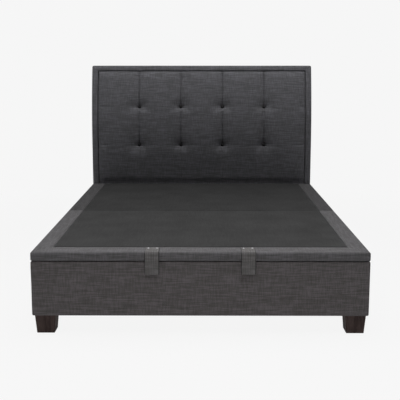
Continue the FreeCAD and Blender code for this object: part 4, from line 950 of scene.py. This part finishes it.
def make_strap(side):
    """A flat ribbon section carried along a path in the upright plane of the strap."""
    low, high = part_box(f"pull_strap_{side}")
    top, middle, width = high.z, (low.x + high.x) / 2, high.x - low.x
    face, upper = low.y + STRAP_THICK / 2 - STRAP_OFF, top - STRAP_THICK / 2
    path = soft_line([(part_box("strap_ends")[1].y, upper), (face, upper), (face, low.z + 0.0042)],
                     [0, 0.008, 0], step=0.004, turn=8)
    run = distance_along(path)
    to_end = run[-1] - run
    sway = 0.0008 * np.sin(run * 38) * np.clip((run - 0.10) / 0.04, 0, 1)
    sway += 0.0035 * np.clip((0.045 - to_end) / 0.045, 0, 1) ** 2
    tangent = np.gradient(path, axis=0)
    tangent /= np.linalg.norm(tangent, axis=1)[:, None]
    normal = np.stack([tangent[:, 1], -tangent[:, 0]], 1)
    place, layer = soft_line([(-0.5, -0.5), (0.5, -0.5), (0.5, 0.5), (-0.5, 0.5)], [0.0] * 4, 0.045,
                             closed=True).T
    off_middle = np.abs(place)
    hem = 1 + 0.45 * fade(off_middle - 0.43, 0.035) - 0.75 * np.clip((off_middle - 0.475) / 0.025, 0, 1) ** 2
    end = np.clip(to_end / 0.004, 0.15, 1) * (1 + 0.3 * fade(to_end - 0.012, 0.004))
    depth = layer * hem * STRAP_THICK * end[:, None] + sway[:, None]
    x = middle + place * width + 0 * depth
    y, z = (path[:, k][:, None] + normal[:, k][:, None] * depth for k in (0, 1))
    tack_y = sum(corner.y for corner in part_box("strap_tacks")) / 2
    to_tack = np.hypot(np.abs(x - middle) - TACKS_APART / 2, y - tack_y)
    z -= 0.0014 * fade(to_tack, 0.009) * (layer > 0)
    across, along = np.meshgrid(np.append(place, place[0]) * width, run)
    flat = np.stack([across, along + 0.3 * (np.append(layer, layer[0]) > 0)], -1)
    mesh = tidy_shell(grid_mesh(f"strap_{side}", np.stack([x, y, z], -1), flat, closed=True))
    nodes = [f"pull_strap_{side}"] + (["strap_ends"] if side == "left" else [])
    piece = show(mesh, strap_linen, None, nodes)
    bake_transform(piece)


for side, _ in SIDES:
    make_strap(side)

# %% [markdown]
# ## Back lining
#
# The back of the headboard is closed with thin black cloth, turned under at its edge and held
# by staples. Between two staples the edge pulls in a little, which makes faint ripples.

# %% Lining
LINING_OUT = BOARD_BACK - 0.0004


def make_lining():
    """Out of the face by the board's depth, with ripples that fade inwards from the edge."""
    low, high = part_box("headboard_back_cover")
    half, top = high.x - 0.004, BOARD_TOP - 0.008
    x, s = np.meshgrid(np.linspace(-half, half, 200), np.linspace(low.z + 0.003, top, 150))
    edge = np.minimum(half - np.abs(x), np.minimum(s - low.z - 0.003, top - s))
    along_edge = np.where(half - np.abs(x) < np.minimum(s - low.z, top - s), s, x)
    ripple = 0.0006 * np.cos(2 * math.pi * along_edge / 0.06) * fade(edge, 0.03, 1)
    out = LINING_OUT + ripple - 0.0012 * fade(edge - 0.02, 0.008) + uneven(x, s, 0.0004, 9.0)
    mesh = grid_mesh("back_lining", lean(x, s, np.minimum(out, LINING_OUT + 0.0001)), np.stack([x, s], -1))
    show_sheet(mesh, (0, 0.5, 0.7), 0.001, back_felt, "base", "headboard_back_cover")


make_lining()

# %% [markdown]
# ## Wood, board and metal
#
# The rigid parts keep their CAD shape and only need a finish. These read Object coordinates,
# so a pattern stays on its part when the lid moves. Wood grain is noise drawn out along the
# part; metal gets small changes in roughness, because a perfectly even gloss looks like plastic.

# %% Rigid finishes
def timber(name, dark, light, scale, roughness=(0.65, 0.45), knots=0.0, **shader_values):
    """Grain: streaks drawn out along one axis, bent by a slow noise, with darker late rings."""
    finish, shader, place = new_finish(name, "object", **shader_values)
    rings = sine(noise(place, times(scale, 0.22), 2, 3), 46.0)
    fibres = noise(place, times(scale, 5), 3, 1)
    tone = stretch_range(weighted((fibres, 1.0), (rings, 0.2)), 0.25, 0.75)
    shade = mix_colours(tone, dark, light)
    if knots:
        spots = add(finish.node_tree, "TexVoronoi", scaled(place, times(scale, 0.14)), None, 1.0)
        shade = mix_colours(stretch_range(spots, 0.02, knots, 0.85, 0.0), shade, times(dark, 0.35))
    return complete(finish, shader, shade, stretch_range(fibres, 0.3, 0.7, *roughness), tone, (0.35, 0.0004))


def pressed_board(name, dark, light):
    """Pressed board: flakes of two sizes under a dry surface."""
    finish, shader, place = new_finish(name, "object")
    flakes = add(finish.node_tree, "TexVoronoi", place, None, 140.0)
    tone = maths("MULTIPLY_ADD", flakes, 0.7, noise(place, (420, 420, 420), 3, 2))
    tone = stretch_range(tone, 0.45, 1.15)
    return complete(finish, shader, mix_colours(tone, dark, light), stretch_range(tone, 0, 1, 0.9, 0.7),
                    tone, (0.3, 0.0003))


def metal(name, dark, light, roughness, grain=60, cells=0.0, depth=0.0001, **shader_values):
    """Metal or a hard coat on it: cloudy colour and gloss, with crystals where cells is set."""
    finish, shader, place = new_finish(name, "object", **shader_values)
    clouds, fine = noise(place, (grain,) * 3, 4, 1), noise(place, (12 * grain,) * 3, 2, 6)
    if cells:
        spangle = add(finish.node_tree, "TexVoronoi", place, None, cells)
        clouds = weighted((clouds, 0.7), (spangle, 0.35))
    return complete(finish, shader, mix_colours(stretch_range(clouds, 0.35, 0.65), dark, light),
                    stretch_range(clouds, 0.35, 0.65, *roughness), fine, (0.25, depth))


PINE = ((0.44, 0.27, 0.13), (0.66, 0.47, 0.28))
finishes = {
    "dark_wood": timber("espresso_wood", (0.036, 0.0250, 0.0230), (0.062, 0.0440, 0.0405), (55, 55, 5),
                        roughness=(0.75, 0.62), Specular_IOR_Level=0.06),
    "pine_long": timber("pine_lengthways", *PINE, (40, 3.5, 40), knots=0.07),
    "pine_wide": timber("pine_crossways", *PINE, (3.5, 40, 40), knots=0.07),
    "pine_tall": timber("pine_upright", *PINE, (40, 40, 3.5)),
    "board": pressed_board("pressed_board", (0.27, 0.18, 0.105), (0.50, 0.37, 0.24)),
    "black_steel": metal("black_coated_steel", (0.012, 0.012, 0.013), (0.026, 0.026, 0.028), (0.42, 0.6),
                         depth=0.0002, Specular_IOR_Level=0.35, Coat_Weight=0.06, Coat_Roughness=0.4),
    "bright_steel": metal("polished_steel", (0.56, 0.56, 0.58), (0.72, 0.72, 0.74), (0.12, 0.26), 20,
                          Metallic=1.0),
    "nickel": metal("worn_nickel", (0.28, 0.28, 0.29), (0.44, 0.44, 0.45), (0.34, 0.5), 300, Metallic=1.0),
    "zinc": metal("zinc_plate", (0.42, 0.42, 0.40), (0.66, 0.66, 0.62), (0.3, 0.5), 90, cells=260.0,
                  Metallic=1.0),
    "rubber": metal("black_rubber", (0.012, 0.012, 0.012), (0.03, 0.03, 0.03), (0.75, 0.92)),
    "plastic": metal("dark_plastic", (0.02, 0.02, 0.021), (0.035, 0.035, 0.036), (0.4, 0.55)),
}
print("rigid finishes:", ", ".join(sorted(finishes)))

# %% [markdown]
# ## Tacks
#
# Two nickel tacks hold each strap down. Their heads are low domes, which catch the light as
# small bright dots. The dome's profile is spun round an upright line at each tack's place.

# %% Tacks
TACK_RADIUS = 0.0046


def make_tacks():
    """Domes: a quarter of an oval from the top to the rim, then a short edge tucked under."""
    low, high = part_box("strap_tacks")
    bow = np.linspace(0, math.pi / 2, 8)
    profile = np.stack([TACK_RADIUS * np.sin(bow), 0.0004 + 0.0026 * np.cos(bow)], -1)
    profile[0, 0] = 1e-5
    profile = np.vstack([profile, [TACK_RADIUS, 0], [TACK_RADIUS * 0.6, -0.0006]])
    outer = high.x - 0.005
    places = np.array([(x, (low.y + high.y) / 2, low.z - 0.0012)
                       for x in (-outer, TACKS_APART - outer, outer - TACKS_APART, outer)])
    mesh = new_mesh("nickel_tacks", *copies(spin(profile), places))
    return show(tidy_shell(mesh, 1e-6), finishes["nickel"], "platform", ["strap_tacks"])


make_tacks()

# %% [markdown]
# ## Staples
#
# The lining of the back and the turned-under hem of the lid are held by staples. A staple is a
# thin bar whose two ends dive into the cloth, so its middle line is a flat arch. A few faces
# each are enough, because there are more than a hundred.

# %% Staples
STAPLE_LENGTH, STAPLE_RADIUS, STAPLE_PITCH = 0.012, 0.0006, 0.06


def staple_row(start, end):
    """Places from start to end, a pitch apart with small steps to and fro, and each one's direction."""
    start, end = np.array(start), np.array(end)
    count = np.arange(int(np.linalg.norm(end - start) / STAPLE_PITCH))
    share = (count + 0.5 + 0.12 * np.sin(7.3 * count)) / len(count)
    slant = math.atan2(*(end - start)[::-1]) + 0.12 * np.sin(3.7 * count)
    return start + share[:, None] * (end - start), slant


def make_staples(name, rows, body, on_surface):
    """All rows of one body as one piece; on_surface turns flat places and heights into points.

    The middle line's height is 0.4 mm less 1.8 mm times |t| to the 8th, for t from -1 to 1.
    """
    t, angle = np.meshgrid(np.linspace(-1, 1, 7), np.linspace(0, 2 * math.pi, 7)[:-1], indexing="ij")
    height = 0.0004 - 0.0018 * np.abs(t) ** 8 + STAPLE_RADIUS * np.sin(angle)
    bar = np.stack([t * STAPLE_LENGTH / 2, STAPLE_RADIUS * np.cos(angle), height], -1)
    places, turned = (np.concatenate(part) for part in zip(*(staple_row(*row) for row in rows)))
    points, faces = copies(bar, np.pad(places, ((0, 0), (0, 1))), turned)
    mesh = new_mesh(name, on_surface(*points.T), faces)
    return show(tidy_shell(mesh, 1e-6), finishes["zinc"], body)


aside, foot, head = HALF - 0.014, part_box("headboard_back_cover")[0].z + 0.013, BOARD_TOP - 0.018
make_staples("back_staples", [((-aside, head), (aside, head)), ((-aside, foot), (aside, foot)),
                              ((-aside, foot), (-aside, head)), ((aside, foot), (aside, head))],
             "base", lambda x, s, height: lean(x, s, LINING_OUT - 0.0009 - height))
aside, front = HALF - 0.022, LID_LOW.y + 0.022
make_staples("lid_staples", [((-aside, front), (aside, front)), ((-aside, front + 0.008), (-aside, 0.94)),
                             ((aside, front + 0.008), (aside, 0.94))],
             "platform", lambda x, y, height: np.stack([x, y, LID_LOW.z - 0.0002 - height], -1))

# %% Put the rigid finishes on the CAD parts
CROSSWISE = ("head_rail", "floor_bearers", "platform_cross_rails", "platform_slats")
UPRIGHT = ("centre_legs", "corner_blocks")


def finish_of(name, slot):
    """The finish for a CAD part: pine's grain follows the way that the part runs."""
    if slot != "pine":
        return finishes[slot]
    return finishes["pine_wide" if name in CROSSWISE else "pine_tall" if name in UPRIGHT else "pine_long"]


for name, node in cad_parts.items():
    if node.hide_render:
        continue
    slot = node.data.materials[0].name.split(".")[0]
    for place in node.material_slots:
        place.link = "OBJECT"
        place.material = finish_of(name, slot)
print("still in their CAD shape:", sum(not node.hide_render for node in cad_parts.values()))

# %% [markdown]
# ## Floor, background and light
#
# The picture has a flat pale background. The floor shows the camera that colour and only a
# trace of its own shading, so the bed's shadow stays soft. Light comes from a broad panel above
# and in front, as in a studio, and from the pale room all round.

# %% Stage
PALE = (0.9216, 0.9216, 0.9216, 1)


def seen_as(tree, output, lit, pale, share=None):
    """Shows pale to rays that are looked along, times a share, and gives all other rays lit."""
    rays = tree.nodes.new("ShaderNodeLightPath").outputs
    looked = maths("MAXIMUM", rays["Is Camera Ray"], rays["Is Glossy Ray"])
    looked = maths("MAXIMUM", looked, rays["Is Transmission Ray"])
    looked = looked if share is None else maths("MULTIPLY", looked, share)
    add(tree, output, add(tree, "MixShader", looked, lit, pale))


def make_floor():
    """A disc at floor height. For the camera it fades to the background's colour far out."""
    rings = np.array([(0.01, 0), (2, 0), (4, 0), (8, 0), (14, 0)])
    mesh = new_mesh("studio_floor", *copies(spin(rings, 96), np.zeros((1, 3))))
    finish = bpy.data.materials.new("pale_floor")
    tree = empty_tree(finish)
    far = add(tree, "VectorMath", add(tree, "TexCoord", output="Object"), output="Value",
              settings={"operation": "LENGTH"})
    seen_as(tree, "OutputMaterial", add(tree, "BsdfDiffuse", (0.86, 0.86, 0.86, 1)),
            add(tree, "Emission", PALE), stretch_range(far, 1.6, 3.4, 0.972, 1.0))
    mesh.materials.append(finish)
    floor = bpy.data.objects.new("studio_floor", mesh)
    scene.collection.objects.link(floor)


def make_world(strength):
    """The pale background for rays that are looked along, a softer room light for all others."""
    scene.world = bpy.data.worlds.new("studio")
    tree = empty_tree(scene.world)
    seen_as(tree, "OutputWorld", add(tree, "Background", (0.96, 0.98, 1.0, 1), strength),
            add(tree, "Background", PALE))


def add_panel(name, place, target, size, watts, spread=180):
    """A rectangular lamp that looks at a point; a spread under 180 degrees keeps its light together."""
    lamp = bpy.data.lights.new(name, "AREA")
    lamp.shape = "RECTANGLE"
    lamp.size, lamp.size_y = size
    lamp.energy = watts
    lamp.spread = math.radians(spread)
    panel = bpy.data.objects.new(name, lamp)
    panel.location = place
    panel.rotation_euler = (Vector(target) - Vector(place)).to_track_quat("-Z", "Y").to_euler()
    scene.collection.objects.link(panel)


make_floor()
make_world(0.03)
add_panel("ceiling_panel", (0, 0, 4.2), (0, 0, 0.4), (4.5, 2.5), 200)
add_panel("front_panel", (0, -2.6, 4.0), (0, -2.61, 0), (5.0, 1.6), 50, 80)
